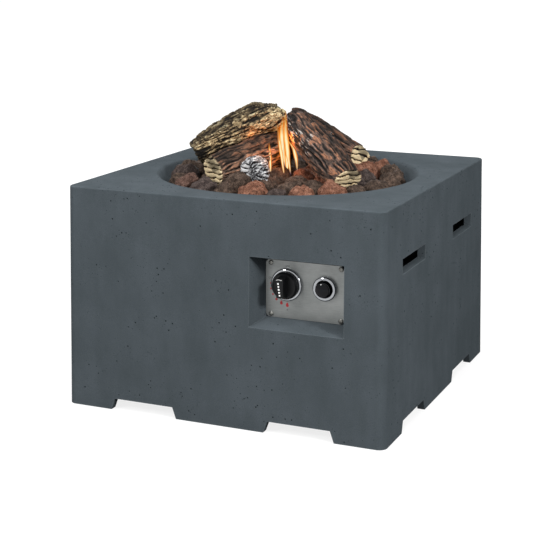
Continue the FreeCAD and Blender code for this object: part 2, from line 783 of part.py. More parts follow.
def make_valve():
    """Gas valve: flange, threaded neck, block, side outlet, bottom inlet and stepped bore."""
    body = new_body("valve_body")
    add_box(body, "valve_block", middle("knob_across", "valve_width"),
            ("-valve_flange_back", "-valve_back"), middle("control_height", "valve_height"))
    along = lambda edge: edge.BoundBox.YLength > 10
    round_edges(body, "valve_block_round", "valve_width/8", along)
    add_box(body, "valve_flange", middle("knob_across", "valve_flange_width"),
            ("-recess_forward", "-valve_flange_back"), middle("control_height", "valve_flange_height"))
    add_cylinder(body, "valve_neck", "valve_neck_radius", "valve_neck_front - valve_flange_back",
                 x="knob_across", y="-valve_flange_back", z="control_height", turn=TURN_FRONT)
    add_cylinder(body, "valve_outlet", "valve_port_radius", "valve_width/2 + valve_port_length",
                 x="knob_across", y="-valve_port_forward", z="control_height", turn=TURN_LEFT)
    add_cylinder(body, "valve_inlet", "valve_port_radius", "valve_height/2 + valve_port_length",
                 x="knob_across", y="-valve_port_forward", z="control_height", turn=TURN_DOWN)
    add_cylinder(body, "valve_rear", "valve_rear_radius", "valve_rear_length + 1",
                 x="knob_across", y="-valve_rear_end", z="control_height", turn=TURN_FRONT)
    cut_cylinder(body, "spring_bore", "spring_bore_radius", "spring_bore_depth + 1",
                 x="knob_across", y="-spring_bore_end", z="control_height", turn=TURN_FRONT)
    cut_cylinder(body, "spindle_guide", "spindle_radius + running_gap",
                 "spring_bore_end - spindle_back + knob_travel + 2 + 1", x="knob_across",
                 y="-(spindle_back - knob_travel - 2)", z="control_height", turn=TURN_FRONT)
    return body


def make_hex_piece(label, circumradius, length, bore, x, y, z, turn):
    """A hexagonal nut or fitting with a plain bore."""
    body = new_body(label)
    add_hexagon(body, label + "_hexagon", circumradius, length, x, y, z, turn)
    cut_cylinder(body, label + "_bore", bore, length, x, y, z, turn)
    return body


def make_valve_fittings():
    """The nut on the valve's neck, the spindle with its washer and spring, and the magnet unit."""
    place = {"x": "knob_across", "z": "control_height", "turn": TURN_FRONT}
    make_hex_piece("valve_nut", "valve_nut_radius", "valve_nut_depth", "valve_neck_radius + running_gap",
                   y="-plate_front", **place)
    spindle = new_body("valve_spindle")
    add_cylinder(spindle, "spindle_bar", "spindle_radius", "spindle_length", y="-spindle_back", **place)
    cut_box(spindle, "spindle_flat_cut", middle("knob_across", "3*spindle_radius"),
            ("-(spindle_front + 1)", "-knob_back"),
            ("control_height + spindle_flat", "control_height + 2*spindle_radius"))
    washer = new_body("spindle_washer")
    add_cylinder(washer, "washer_disc", "spring_bore_radius - seat_gap", "washer_depth",
                 y="-washer_back", **place)
    cut_cylinder(washer, "washer_bore", "spindle_radius + running_gap", "washer_depth",
                 y="-washer_back", **place)
    coil_spring("spindle_spring", "(spindle_radius + spring_bore_radius)/2",
                "spring_bore_end + seat_gap/2", "washer_back - seat_gap/2", 6, "knob_across")
    magnet = new_body("magnet_unit")
    add_hexagon(magnet, "magnet_hexagon", "magnet_radius", "magnet_length", y="-magnet_end", **place)
    nut = new_body("thermocouple_nut")
    add_hexagon(nut, "thermocouple_nut_hexagon", "magnet_radius*0.6", "magnet_length*0.7",
                y="-(magnet_end - magnet_length*0.7)", **place)


def make_gas_line():
    """Inlet fitting for the hose, and the pipe with its nuts from the valve to the injector."""
    inlet = new_body("gas_inlet_fitting")
    place = {"x": "knob_across", "y": "-valve_port_forward"}
    add_hexagon(inlet, "inlet_hexagon", "inlet_hex_radius", "inlet_hex_length",
                z="valve_inlet_end", turn=TURN_DOWN, **place)
    add_cylinder(inlet, "inlet_thread", "inlet_thread_radius",
                 "inlet_hex_length + inlet_thread_length", z="valve_inlet_end", turn=TURN_DOWN, **place)
    cut_cylinder(inlet, "inlet_bore", "inlet_bore_radius",
                 "inlet_hex_length + inlet_thread_length", z="valve_inlet_end", turn=TURN_DOWN, **place)
    height = number("control_height")
    forward = -number("valve_port_forward")
    injector = FreeCAD.Vector(0, -number("elbow_reach"), number("injector_height"))
    points = [FreeCAD.Vector(number("valve_outlet_end"), forward, height),
              FreeCAD.Vector(0, forward, height),
              FreeCAD.Vector(0, forward / 3, injector.z),
              injector]
    tube("gas_pipe", points, number("pipe_radius"), number("pipe_bore_radius"), number("pipe_bend"))
    bore = "pipe_radius + running_gap"
    make_hex_piece("valve_pipe_nut", "pipe_nut_radius", "pipe_nut_length", bore,
                   "valve_outlet_end", "-valve_port_forward", "control_height", TURN_LEFT)
    make_hex_piece("elbow_pipe_nut", "pipe_nut_radius", "pipe_nut_length", bore,
                   "0", "-elbow_reach", "injector_height", TURN_FRONT)


def make_injector():
    """Brass elbow and jet under the mixer tube, held to the pan by a folded bracket."""
    elbow = new_body("injector_elbow")
    add_box(elbow, "elbow_block", ("-elbow_half", "elbow_half"), ("-elbow_reach", "elbow_half"),
            ("injector_height - elbow_half", "elbow_top_height"))
    cut_cylinder(elbow, "elbow_inlet_bore", "pipe_bore_radius", "elbow_reach",
                 z="injector_height", turn=TURN_FRONT)
    cut_cylinder(elbow, "elbow_outlet_bore", "pipe_bore_radius", "elbow_top", z="injector_height")
    jet = new_body("injector_jet")
    add_cylinder(jet, "jet_collar", "jet_collar_radius", "bracket_sheet", z="elbow_top_height")
    add_cylinder(jet, "jet_nozzle", "jet_radius", "bracket_sheet + jet_length", z="elbow_top_height")
    round_edges(jet, "jet_tip", "jet_radius/2",
                level_edge(number("elbow_top_height + bracket_sheet + jet_length")), kind="Chamfer")
    cut_cylinder(jet, "jet_bore", "jet_bore_radius", "bracket_sheet + jet_length + 1",
                 z="elbow_top_height - 0.5")
    bracket = new_body("injector_bracket")
    inside = "(bracket_half_span - bracket_sheet)"
    foot = "(bracket_half_span + bracket_foot)"
    base = "elbow_top_height"
    hat = [("-bracket_half_span", base), ("bracket_half_span", base),
           ("bracket_half_span", "pan_floor - bracket_sheet"), (foot, "pan_floor - bracket_sheet"),
           (foot, "pan_floor"), (inside, "pan_floor"), (inside, base + " + bracket_sheet"),
           ("-" + inside, base + " + bracket_sheet"), ("-" + inside, "pan_floor"),
           ("-" + foot, "pan_floor"), ("-" + foot, "pan_floor - bracket_sheet"),
           ("-bracket_half_span", "pan_floor - bracket_sheet")]
    pad_across(bracket, "bracket_strip", hat, "bracket_width")
    cut_cylinder(bracket, "bracket_hole", "jet_collar_radius + running_gap", "2*bracket_sheet",
                 z="elbow_top_height - bracket_sheet/2")


def pad_across(body, name, corners, width, role="XZ_Plane"):
    """Pad an outline in an upright plane both ways from that plane, by default one of X and Z."""
    pad = body.newObject("PartDesign::Pad", name)
    pad.Profile = outline(body, name + "_outline", role, [corners])
    pad.SideType = "Symmetric"
    pad.setExpression("Length", bound(width))
    return pad


def make_burner_pan():
    """Pressed steel pan that hangs by its flange in the bowl's floor."""
    body = new_body("burner_pan")
    revolve(body, "pan_turned", [
        ("mixer_radius + seat_gap", "pan_floor"), ("pan_radius", "pan_floor"),
        ("pan_radius", "bowl_floor"), ("pan_flange_radius", "bowl_floor"),
        ("pan_flange_radius", "bowl_floor + pan_sheet"),
        ("pan_radius - pan_sheet", "bowl_floor + pan_sheet"),
        ("pan_radius - pan_sheet", "pan_floor + pan_sheet"),
        ("mixer_radius + seat_gap", "pan_floor + pan_sheet")])
    hole = cut_cylinder(body, "pan_screw_hole", "screw_radius + screw_hole_gap", "2*pan_sheet",
                        x="pan_screw_circle*sqrt(0.5)", y="pan_screw_circle*sqrt(0.5)",
                        z="bowl_floor - pan_sheet/2")
    polar_copies(body, "pan_screw_holes", hole, 4)
    for name, across, radius in (("sensor_hole", "sensor_across", "sensor_radius + seat_gap"),
                                 ("electrode_hole", "electrode_across", "electrode_radius + seat_gap")):
        cut_cylinder(body, name, radius, "2*pan_sheet", x=across, y="-pilot_forward",
                     z="pan_floor - pan_sheet/2")
    return body


def make_burner_ring():
    """Hollow ring burner with a cross tube, hub, mixer tube and a row of ports."""
    body = new_body("burner_ring")
    put(feature(body, "AdditiveTorus", "ring_tube", Radius1="ring_radius", Radius2="ring_tube_radius"),
        z="ring_height")
    add_cylinder(body, "cross_tube", "spoke_radius", "2*ring_radius", x="ring_radius",
                 z="ring_height", turn=TURN_LEFT)
    add_cylinder(body, "hub", "hub_radius", "2*ring_tube_radius", z="ring_height - ring_tube_radius")
    add_cylinder(body, "mixer_tube", "mixer_radius", "ring_height - mixer_bottom", z="mixer_bottom")
    put(feature(body, "SubtractiveTorus", "ring_bore", Radius1="ring_radius",
                Radius2="ring_tube_radius - ring_tube_wall"), z="ring_height")
    cut_cylinder(body, "cross_bore", "spoke_radius - ring_tube_wall", "2*ring_radius",
                 x="ring_radius", z="ring_height", turn=TURN_LEFT)
    cut_cylinder(body, "mixer_bore", "mixer_radius - mixer_wall", "ring_height - mixer_bottom + 1",
                 z="mixer_bottom - 1")
    cut_cylinder(body, "air_holes", "air_hole_radius", "4*mixer_radius", y="2*mixer_radius",
                 z="mixer_bottom + 1.6*air_hole_radius", turn=TURN_FRONT)
    level = FreeCAD.Rotation(FreeCAD.Vector(0, 1, 0), 90)
    for step in range(PORT_COUNT):
        bearing = (step + 0.5) * 360 / PORT_COUNT
        outward = FreeCAD.Rotation(FreeCAD.Vector(0, 0, 1), bearing)
        cut_cylinder(body, "port", "port_radius", "2*ring_tube_radius",
                     x="ring_radius*cos(%sdeg)" % bearing, y="ring_radius*sin(%sdeg)" % bearing,
                     z="ring_height", turn=outward * level)
    return body


def make_ring_feet():
    """Three feet that carry the ring on the pan's floor."""
    master = doc.addObject("PartDesign::Body", "ring_foot_master")
    add_box(master, "ring_foot_block", middle("ring_radius", "ring_foot_depth"),
            middle("0", "ring_foot_width"), ("pilot_floor", "pilot_floor + ring_lift"))
    turns = [FreeCAD.Placement(FreeCAD.Vector(), FreeCAD.Rotation(FreeCAD.Vector(0, 0, 1), 90 + 120 * step))
             for step in range(3)]
    return copies("burner_brackets", master, turns)


def make_pilot():
    """Ignition point: bracket plate, folded guard, thermocouple and spark electrode."""
    plate = new_body("pilot_bracket")
    add_box(plate, "pilot_plate", middle("pilot_across", "pilot_plate_width"),
            middle("-pilot_forward", "pilot_plate_depth"), ("pilot_floor", "pilot_floor + pan_sheet"))
    guard = new_body("pilot_guard")
    half = "guard_width/2"
    foot = "(guard_width/2 + guard_foot)"
    inside = "(guard_width/2 - guard_sheet)"
    low = "pilot_floor"
    pad_across(guard, "guard_strip", [
        ("-" + foot, low), ("-" + inside, low), ("-" + inside, "bed_height - guard_sheet"),
        (inside, "bed_height - guard_sheet"), (inside, low), (foot, low),
        (foot, low + " + guard_sheet"), (half, low + " + guard_sheet"), (half, "bed_height"),
        ("-" + half, "bed_height"), ("-" + half, low + " + guard_sheet"),
        ("-" + foot, low + " + guard_sheet")], "guard_depth")
    put(guard, x="pilot_across", y="-pilot_forward")
    sensor = new_body("thermocouple")
    place = {"x": "sensor_across", "y": "-pilot_forward"}
    add_cylinder(sensor, "sensor_shank", "sensor_radius", "pilot_floor + pan_sheet + 2 - sensor_bottom",
                 z="sensor_bottom", **place)
    add_cylinder(sensor, "sensor_tip", "sensor_tip_radius",
                 "bed_height - guard_sheet - 3 - sensor_bottom", z="sensor_bottom", **place)
    electrode = new_body("ignition_electrode")
    place["x"] = "electrode_across"
    add_cylinder(electrode, "electrode_ceramic", "electrode_radius",
                 "ring_height - 2 - electrode_bottom", z="electrode_bottom", **place)
    add_cylinder(electrode, "electrode_wire", "electrode_wire_radius",
                 "bed_height - guard_sheet - 2 - electrode_bottom", z="electrode_bottom", **place)
    for name, across, radius in (("sensor_seat", "sensor_across", "sensor_radius + running_gap"),
                                 ("electrode_seat", "electrode_across", "electrode_radius + running_gap")):
        cut_cylinder(plate, name, radius, "2*pan_sheet", x=across, y="-pilot_forward",
                     z="pilot_floor - pan_sheet/2")


def make_leads():
    """The thermocouple's capillary and the spark lead, each held at both ends."""
    height = number("control_height")
    sensor = FreeCAD.Vector(number("sensor_across"), -number("pilot_forward"), number("sensor_bottom"))
    level = sensor.z - number("sensor_lead_drop")
    start = FreeCAD.Vector(number("knob_across"), -number("magnet_end - magnet_length*0.7"), height)
    tube("thermocouple_lead", [
        start, start + FreeCAD.Vector(0, 48, 0), FreeCAD.Vector(sensor.x + 42, sensor.y - 20, level - 5),
        FreeCAD.Vector(sensor.x, sensor.y, level), sensor], number("sensor_lead_radius"))
    electrode = FreeCAD.Vector(number("electrode_across"), -number("pilot_forward"),
                               number("electrode_bottom"))
    level = electrode.z - number("spark_lead_drop")
    start = FreeCAD.Vector(number("igniter_across + terminal_spacing"), -number("terminal_back"), height)
    tube("ignition_lead", [
        start, start + FreeCAD.Vector(0, 45, 0),
        FreeCAD.Vector((start.x + electrode.x) / 2 + 12, electrode.y - 6, level - 5),
        FreeCAD.Vector(electrode.x + 26, electrode.y + 10, level - 3),
        FreeCAD.Vector(electrode.x, electrode.y, level), electrode], number("spark_lead_radius"))


def make_igniter():
    """Push button spark igniter: barrel, nut, chrome bezel, domed button, spring, battery, tabs."""
    place = {"x": "igniter_across", "z": "control_height"}
    cell = "battery_radius + running_gap*3"
    turned_part("igniter_barrel", [
        ("0", "igniter_back"), ("igniter_barrel_radius", "igniter_back"),
        ("igniter_barrel_radius", "plate_front"), ("igniter_flange_radius", "plate_front"),
        ("igniter_flange_radius", "igniter_flange_front"), ("igniter_bore", "igniter_flange_front"),
        ("igniter_bore", "battery_front"), (cell, "battery_front"),
        (cell, "igniter_back + igniter_floor"), ("0", "igniter_back + igniter_floor")], **place)
    make_hex_piece("igniter_nut", "igniter_nut_radius", "igniter_nut_depth",
                   "igniter_barrel_radius + running_gap", y="-(recess_forward - igniter_nut_depth)",
                   turn=TURN_FRONT, **place)
    bezel = turned_part("igniter_bezel", [
        ("bezel_bore_radius", "igniter_flange_front"), ("bezel_radius", "igniter_flange_front"),
        ("bezel_radius", "bezel_front"), ("bezel_bore_radius", "bezel_front")], **place)
    front = number("bezel_front")
    round_edges(bezel, "bezel_crown", "(bezel_radius - bezel_bore_radius)*0.42", level_edge(front))
    button = turned_part("igniter_button", [
        ("0", "button_stem_back"), ("igniter_bore - seat_gap", "button_stem_back"),
        ("igniter_bore - seat_gap", "button_back"), ("button_radius", "button_back"),
        ("button_radius", "button_front"), ("0", "button_front")], **place)
    front = number("button_front")
    round_edges(button, "button_dome", "button_radius*0.65", level_edge(front))
    coil_spring("igniter_spring", "battery_radius*0.72", "battery_front + seat_gap/2",
                "button_stem_back - seat_gap/2", IGNITER_SPRING_TURNS, "igniter_across")
    turned_part("battery", [
        ("0", "battery_back"), ("battery_radius", "battery_back"),
        ("battery_radius", "battery_front - 1.5"), ("battery_radius*0.38", "battery_front - 1.5"),
        ("battery_radius*0.38", "battery_front"), ("0", "battery_front")], **place)
    tab = doc.addObject("PartDesign::Body", "terminal_master")
    add_box(tab, "terminal_tab", middle("0", "terminal_width"), ("-igniter_back", "-terminal_back"),
            middle("control_height", "terminal_sheet"))
    sides = [FreeCAD.Placement(FreeCAD.Vector(number("igniter_across + %d*terminal_spacing" % side), 0, 0),
                               TURN_UP) for side in (-1, 1)]
    copies("igniter_terminals", tab, sides)


def scatter(seed):
    """A repeatable number from 0 to 1 for a whole number."""
    return math.modf(abs(math.sin(seed * 12.9898 + 4.1) * 43758.5453))[0]


def clipped(faces, normal, limit):
    """The part of a convex solid's faces on the near side of a plane, with a cap on the plane."""
    kept = []
    cap = []
    for face in faces:
        cut = []
        for point, following in zip(face, face[1:] + face[:1]):
            depth = normal.dot(point) - limit
            next_depth = normal.dot(following) - limit
            if depth <= 0:
                cut.append(point)
            if (depth <= 0) != (next_depth <= 0):
                crossing = point + (following - point) * (depth / (depth - next_depth))
                cut.append(crossing)
                cap.append(crossing)
        if len(cut) > 2:
            kept.append(cut)
    if cap:
        middle_point = sum(cap, FreeCAD.Vector()) * (1.0 / len(cap))
        across = (cap[0] - middle_point).normalize()
        up = normal.cross(across)

        def bearing(point):
            return math.atan2((point - middle_point).dot(up), (point - middle_point).dot(across))

        cap.sort(key=bearing)
        distinct = [point for point, before in zip(cap, cap[-1:] + cap[:-1])
                    if (point - before).Length > 1e-7]
        kept.append(distinct)
    return kept


def solid_from_faces(faces):
    """A solid bounded by flat faces."""
    shell = Part.makeShell([Part.Face(Part.makePolygon(face + face[:1])) for face in faces])
    solid = Part.makeSolid(shell)
    if solid.Volume < 0:
        solid.reverse()
    return solid


def block_faces(centre, half):
    """The six faces of a cube."""
    sides = []
    for axis in range(3):
        for sign in (-1, 1):
            corners = []
            for first, second in ((-1, -1), (-1, 1), (1, 1), (1, -1)):
                offsets = [first, second]
                offsets.insert(axis, sign)
                corners.append(centre + FreeCAD.Vector(*offsets) * half)
            sides.append(corners)
    return sides


def rock_rings():
    """Every rock's centre, radius and node, laid in two layers of rings with a repeatable scatter."""
    size = number("rock_radius")
    pitch = number("rock_pitch")
    low = number("rock_lower_height")
    wall_at_low = number("bowl_floor_radius + bowl_slope*(rock_lower_height - bowl_floor)")
    layers = [(number("rock_upper_height"), number("rock_spread")),
              (low, (number("pan_flange_radius") + wall_at_low) / 2)]
    rings = []
    for height, radius in layers:
        outermost = radius
        while radius > pitch / 2:
            node = "lava_rocks_lower" if height == low else "lava_rocks_middle"
            if height > low and radius > outermost - 1.5 * pitch:
                node = "lava_rocks_outer"
            rings.append((node, height, radius))
            radius -= pitch
    rocks = []
    for ring, (node, height, radius) in enumerate(rings):
        count = round(2 * math.pi * radius / pitch)
        for step in range(count):
            seed = 100 * ring + step
            angle = 2 * math.pi * (step + 0.35 * scatter(seed) + 0.5 * (ring % 2)) / count
            reach = radius + number("rock_drift") * (scatter(seed + 37) - 0.5)
            lift = height + number("rock_heave") * (scatter(seed + 71) - 0.5)
            place = FreeCAD.Vector(reach * math.cos(angle), reach * math.sin(angle), lift)
            rocks.append((place, size * (0.86 + 0.28 * scatter(seed + 53)), node))
    return rocks


def bowl_planes(place, lower):
    """Planes that keep a rock off the bowl's wall, its rounded corner, the burner and the pan's flange."""
    lean = math.atan(number("bowl_slope"))
    gap = number("rock_gap")
    edge = number("bowl_floor_radius")
    corner = number("bowl_corner")
    rounding = corner * (1 / math.sin((math.pi / 2 + lean) / 2) - 1)
    floor = number("bed_height") + gap
    angle = math.atan2(place.y, place.x)
    down = FreeCAD.Vector(0, 0, -1)
    planes = []
    for offset in WALL_BEARINGS:
        outward = FreeCAD.Vector(math.cos(angle + offset), math.sin(angle + offset), 0)
        wall_normal = outward * math.cos(lean) + down * math.sin(lean)
        corner_normal = (wall_normal + down).normalize()
        foot = outward * edge + FreeCAD.Vector(0, 0, number("bowl_floor"))
        planes.append((wall_normal, wall_normal.dot(foot) - rounding - gap))
        planes.append((corner_normal, corner_normal.dot(foot) - rounding - number("rock_corner_gap")))
    radius = math.hypot(place.x, place.y)
    if lower and radius > number("pan_flange_radius") + number("pan_screw_inset"):
        inward = FreeCAD.Vector(-math.cos(angle), -math.sin(angle), 0)
        planes.append((inward, -number("pan_flange_radius") - gap))
        floor = number("bowl_floor") + number("rock_floor_gap")
    planes.append((down, -floor))
    return planes


def rock_solid(index, rocks):
    """One rock: a faceted pebble, flattened where it meets its neighbours and the bowl."""
    place, radius, node = rocks[index]
    faces = block_faces(place, radius * (ROCK_SIDE_NEAR + 2 * ROCK_SIDE_SCATTER))
    golden = math.pi * (3 - math.sqrt(5))
    for facet in range(ROCK_SIDES):
        upward = 1 - (2 * facet + 1) / ROCK_SIDES
        flat = math.sqrt(1 - upward ** 2)
        angle = golden * facet + 2 * math.pi * scatter(index + 11)
        normal = FreeCAD.Vector(flat * math.cos(angle), flat * math.sin(angle), upward)
        reach = radius * (ROCK_SIDE_NEAR + ROCK_SIDE_SCATTER * scatter(31 * index + facet))
        faces = clipped(faces, normal, normal.dot(place) + reach)
    for other, (other_place, other_radius, _) in enumerate(rocks):
        away = other_place - place
        distance = away.Length
        if other == index or distance > (radius + other_radius) * 1.2:
            continue
        away.normalize()
        share = (distance ** 2 + radius ** 2 - other_radius ** 2) / (2 * distance)
        faces = clipped(faces, away, away.dot(place) + share - number("rock_gap") / 2)
    for normal, limit in bowl_planes(place, node == "lava_rocks_lower"):
        faces = clipped(faces, normal, limit)
    return solid_from_faces(faces)


def make_rocks(log_shapes):
    """The lava rocks, hollowed where a log lies in them."""
    rocks = rock_rings()
    groups = {}
    for index, (place, radius, node) in enumerate(rocks):
        solid = rock_solid(index, rocks)
        whole = solid.Volume
        for log in log_shapes:
            if solid.BoundBox.intersect(log.BoundBox):
                pieces = solid.cut(log).Solids
                solid = max(pieces, key=lambda piece: piece.Volume) if pieces else None
            if solid is None:
                break
        if solid and solid.Volume > ROCK_LEAST_SHARE * whole:
            groups.setdefault(node, []).append(solid)
    for node, solids in groups.items():
        heap = doc.addObject("Part::Feature", node + "_heap")
        heap.Shape = Part.makeCompound(solids)
        keep(heap, node)


# Each log as stations along its length: X and Y of the centre, its height above the middle of the
# upper layer of rocks, half width, half height.
# The logs are laid in this order, and each is notched where it rests on the ones before.
LOG_STATIONS = {
    "log_bark": [
        (-84, -147, 32, 25, 30), (-69, -115, 37, 29, 33), (-54, -73, 43, 31, 36),
        (-38, -28, 55, 31, 38), (-24, 16, 60, 29, 34), (-18, 36, 61, 23, 27)],
    "log_front": [
        (157, -99, 27, 27, 22), (132, -79, 43, 32, 27), (94, -51, 64, 36, 31),
        (54, -22, 85, 35, 30), (20, 4, 105, 29, 25), (2, 18, 116, 19, 15)],
    "log_rear": [
        (120, 100, 26, 23, 21), (98, 94, 39, 28, 25), (62, 86, 62, 30, 27),
        (24, 77, 88, 29, 26), (-8, 69, 107, 24, 21), (-24, 65, 115, 16, 14)],
    "log_ash_stub": [
        (-15, -120, 30, 24, 24), (-23, -102, 32, 26, 25), (-36, -74, 36, 24, 23)],
    "log_weathered": [
        (-158, -67, 53, 23, 24), (-128, -54, 72, 29, 30), (-88, -36, 96, 32, 32),
        (-50, -19, 118, 33, 32), (-24, -9, 119, 29, 26), (-6, -3, 116, 21, 15)],
}
LOG_SIDES = 12


def log_solid(name, extra=0.0):
    """One log with faceted bark, or the same log larger by an extra on every side."""
    stations = LOG_STATIONS[name]
    bed = FreeCAD.Vector(0, 0, number("rock_upper_height"))
    centres = [bed + FreeCAD.Vector(*station[:3]) for station in stations]
    start = (centres[1] - centres[0]).normalize()
    end = (centres[-1] - centres[-2]).normalize()
    seed = 17 * list(LOG_STATIONS).index(name)
    rings = []
    for step, (centre, station) in enumerate(zip(centres, stations)):
        before = centres[max(step - 1, 0)]
        after = centres[min(step + 1, len(centres) - 1)]
        along = (after - before).normalize()
        side = along.cross(FreeCAD.Vector(0, 0, 1)).normalize()
        up = side.cross(along)
        if step == 0:
            centre = centre - start * extra
        if step == len(centres) - 1:
            centre = centre + end * extra
        ring = []
        for corner in range(LOG_SIDES):
            angle = 2 * math.pi * corner / LOG_SIDES
            knobbly = 0.93 + 0.14 * scatter(seed + 5 * corner + step // 2)
            ring.append(centre + side * (math.cos(angle) * (station[3] * knobbly + extra))
                        + up * (math.sin(angle) * (station[4] * knobbly + extra)))
        rings.append(ring)
    triangles = []
    for near_ring, far_ring in zip(rings, rings[1:]):
        for corner in range(LOG_SIDES):
            beside = (corner + 1) % LOG_SIDES
            triangles.append([near_ring[corner], near_ring[beside], far_ring[beside]])
            triangles.append([near_ring[corner], far_ring[beside], far_ring[corner]])
    triangles.append(rings[0][::-1])
    triangles.append(rings[-1])
    return solid_from_faces(triangles)


def make_logs():
    """The logs, each notched round those it rests on; returns their room among the rocks."""
    laid = []
    for name in LOG_STATIONS:
        solid = log_solid(name)
        for other in laid:
            if solid.BoundBox.intersect(other.BoundBox):
                solid = max(solid.cut(other).Solids, key=lambda piece: piece.Volume)
        log = doc.addObject("Part::Feature", name + "_carved")
        log.Shape = solid
        keep(log, name)
        laid.append(log_solid(name, number("log_gap")))
    return laid


def check_and_export():
    """Stop at anything that failed, then write one file for each sub-part."""
    doc.recompute()
    failed = [item.Label for item in doc.Objects if "Invalid" in item.State or "Error" in item.State]
    if failed:
        raise RuntimeError("failed objects: " + ", ".join(failed))
    for piece in subparts:
        if piece.Shape.isNull() or not piece.Shape.isValid():
            raise RuntimeError("bad shape: " + piece.Label)
    os.makedirs("parts", exist_ok=True)
    for piece in subparts:
        piece.Shape.exportStep("parts/%s.step" % piece.Label)
    print("%d nodes, %d solids" % (len(subparts), sum(len(piece.Shape.Solids) for piece in subparts)))


fill_sheet()
make_outer_shell()
make_control_plate()
make_fasteners()
make_dial_ring()
make_control_knob()
make_valve()
make_valve_fittings()
make_gas_line()
make_injector()
make_burner_pan()
make_burner_ring()
make_ring_feet()
make_pilot()
make_leads()
make_igniter()
make_rocks(make_logs())
check_and_export()
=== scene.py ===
"""Dresses the gas fire pit: cast body, control panel, burner, lava rock, ceramic logs and flames.

Lengths are in millimetres unless a name ends in _m; the scene itself is in metres.
+Z is up, the front with the control recess faces -Y, and the origin is the centre of the footprint.
"""

import logging
import math
from dataclasses import dataclass
from enum import Enum
from typing import Iterable, Sequence

import bmesh
import bpy
import numpy as np
from mathutils import Matrix, Vector, noise


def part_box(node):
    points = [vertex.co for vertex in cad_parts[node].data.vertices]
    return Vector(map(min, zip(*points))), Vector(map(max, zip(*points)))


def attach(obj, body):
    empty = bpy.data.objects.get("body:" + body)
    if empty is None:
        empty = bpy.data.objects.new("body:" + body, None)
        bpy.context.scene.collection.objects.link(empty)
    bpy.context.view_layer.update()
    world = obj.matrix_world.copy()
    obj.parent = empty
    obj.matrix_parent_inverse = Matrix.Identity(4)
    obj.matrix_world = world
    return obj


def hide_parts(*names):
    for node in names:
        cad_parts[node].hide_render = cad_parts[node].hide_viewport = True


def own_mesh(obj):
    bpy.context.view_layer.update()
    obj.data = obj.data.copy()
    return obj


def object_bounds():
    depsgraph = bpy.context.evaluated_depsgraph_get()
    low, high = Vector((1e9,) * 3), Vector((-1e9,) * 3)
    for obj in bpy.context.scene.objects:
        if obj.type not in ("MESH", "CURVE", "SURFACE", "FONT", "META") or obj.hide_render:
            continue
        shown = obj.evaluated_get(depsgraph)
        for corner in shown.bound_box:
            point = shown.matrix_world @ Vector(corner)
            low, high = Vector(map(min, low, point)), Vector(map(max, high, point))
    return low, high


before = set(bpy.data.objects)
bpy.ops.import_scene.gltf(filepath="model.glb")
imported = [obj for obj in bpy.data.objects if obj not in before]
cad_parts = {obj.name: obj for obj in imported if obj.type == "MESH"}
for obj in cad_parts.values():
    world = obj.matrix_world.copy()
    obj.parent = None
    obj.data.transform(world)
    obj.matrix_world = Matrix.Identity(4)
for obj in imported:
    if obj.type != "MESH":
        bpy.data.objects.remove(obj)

CAD_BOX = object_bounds()
# One millimetre in metres
MM = 0.001
# Starts the random draws that pick each rock's stone
SEED = 11

log = logging.getLogger("fire_pit")


def linear(hex_colour: str) -> tuple[float, float, float, float]:
    """Turn an sRGB hex colour into linear RGBA.

    Args:
        hex_colour: a colour such as "#4b5458".

    Returns:
        Linear red, green, blue and an alpha of 1.
    """
    channels = [int(hex_colour[i:i + 2], 16) / 255 for i in (1, 3, 5)]
    return (*(c / 12.92 if c <= 0.04045 else ((c + 0.055) / 1.055) ** 2.4 for c in channels), 1.0)


def add_node(tree: bpy.types.NodeTree, kind: str, *inputs: object, out: int | str = 0,
             stops: Sequence[tuple[float, str]] = (), **named: object) -> bpy.types.NodeSocket:
    """Add a shader node, set it up and link it.

    Args:
        tree: the node tree that takes the node.
        kind: the node's type, without its "ShaderNode" prefix.
        inputs: what goes into the sockets in use, in order: sockets to link from, or values.
            A hex colour is turned to linear.
        out: the output that is handed back, by its name or by its number among those in use.
        stops: positions and hex colours, where the node is a colour ramp.
        named: settings in small letters, and sockets with a capital and underscores for spaces.

    Returns:
        The node's output socket, or None where it has none.
    """
    node = tree.nodes.new("ShaderNode" + kind)
    for name, value in named.items():
        if name[0].islower():
            setattr(node, name, value)
    ready = [socket for socket in node.inputs if socket.enabled]
    pairs = list(zip(ready, inputs))
    pairs += [(node.inputs[name.replace("_", " ")], value) for name, value in named.items()
              if not name[0].islower()]
    for socket, value in pairs:
        if isinstance(value, bpy.types.NodeSocket):
            tree.links.new(value, socket)
        else:
            socket.default_value = linear(value) if isinstance(value, str) else value
    if stops:
        elements = node.color_ramp.elements
        while len(elements) < len(stops):
            elements.new(0.5)
        for element, (position, colour) in zip(elements, stops):
            element.position = position
            element.color = linear(colour)
    if isinstance(out, str):
        return node.outputs[out]
    return next(iter([socket for socket in node.outputs if socket.enabled][out:]), None)


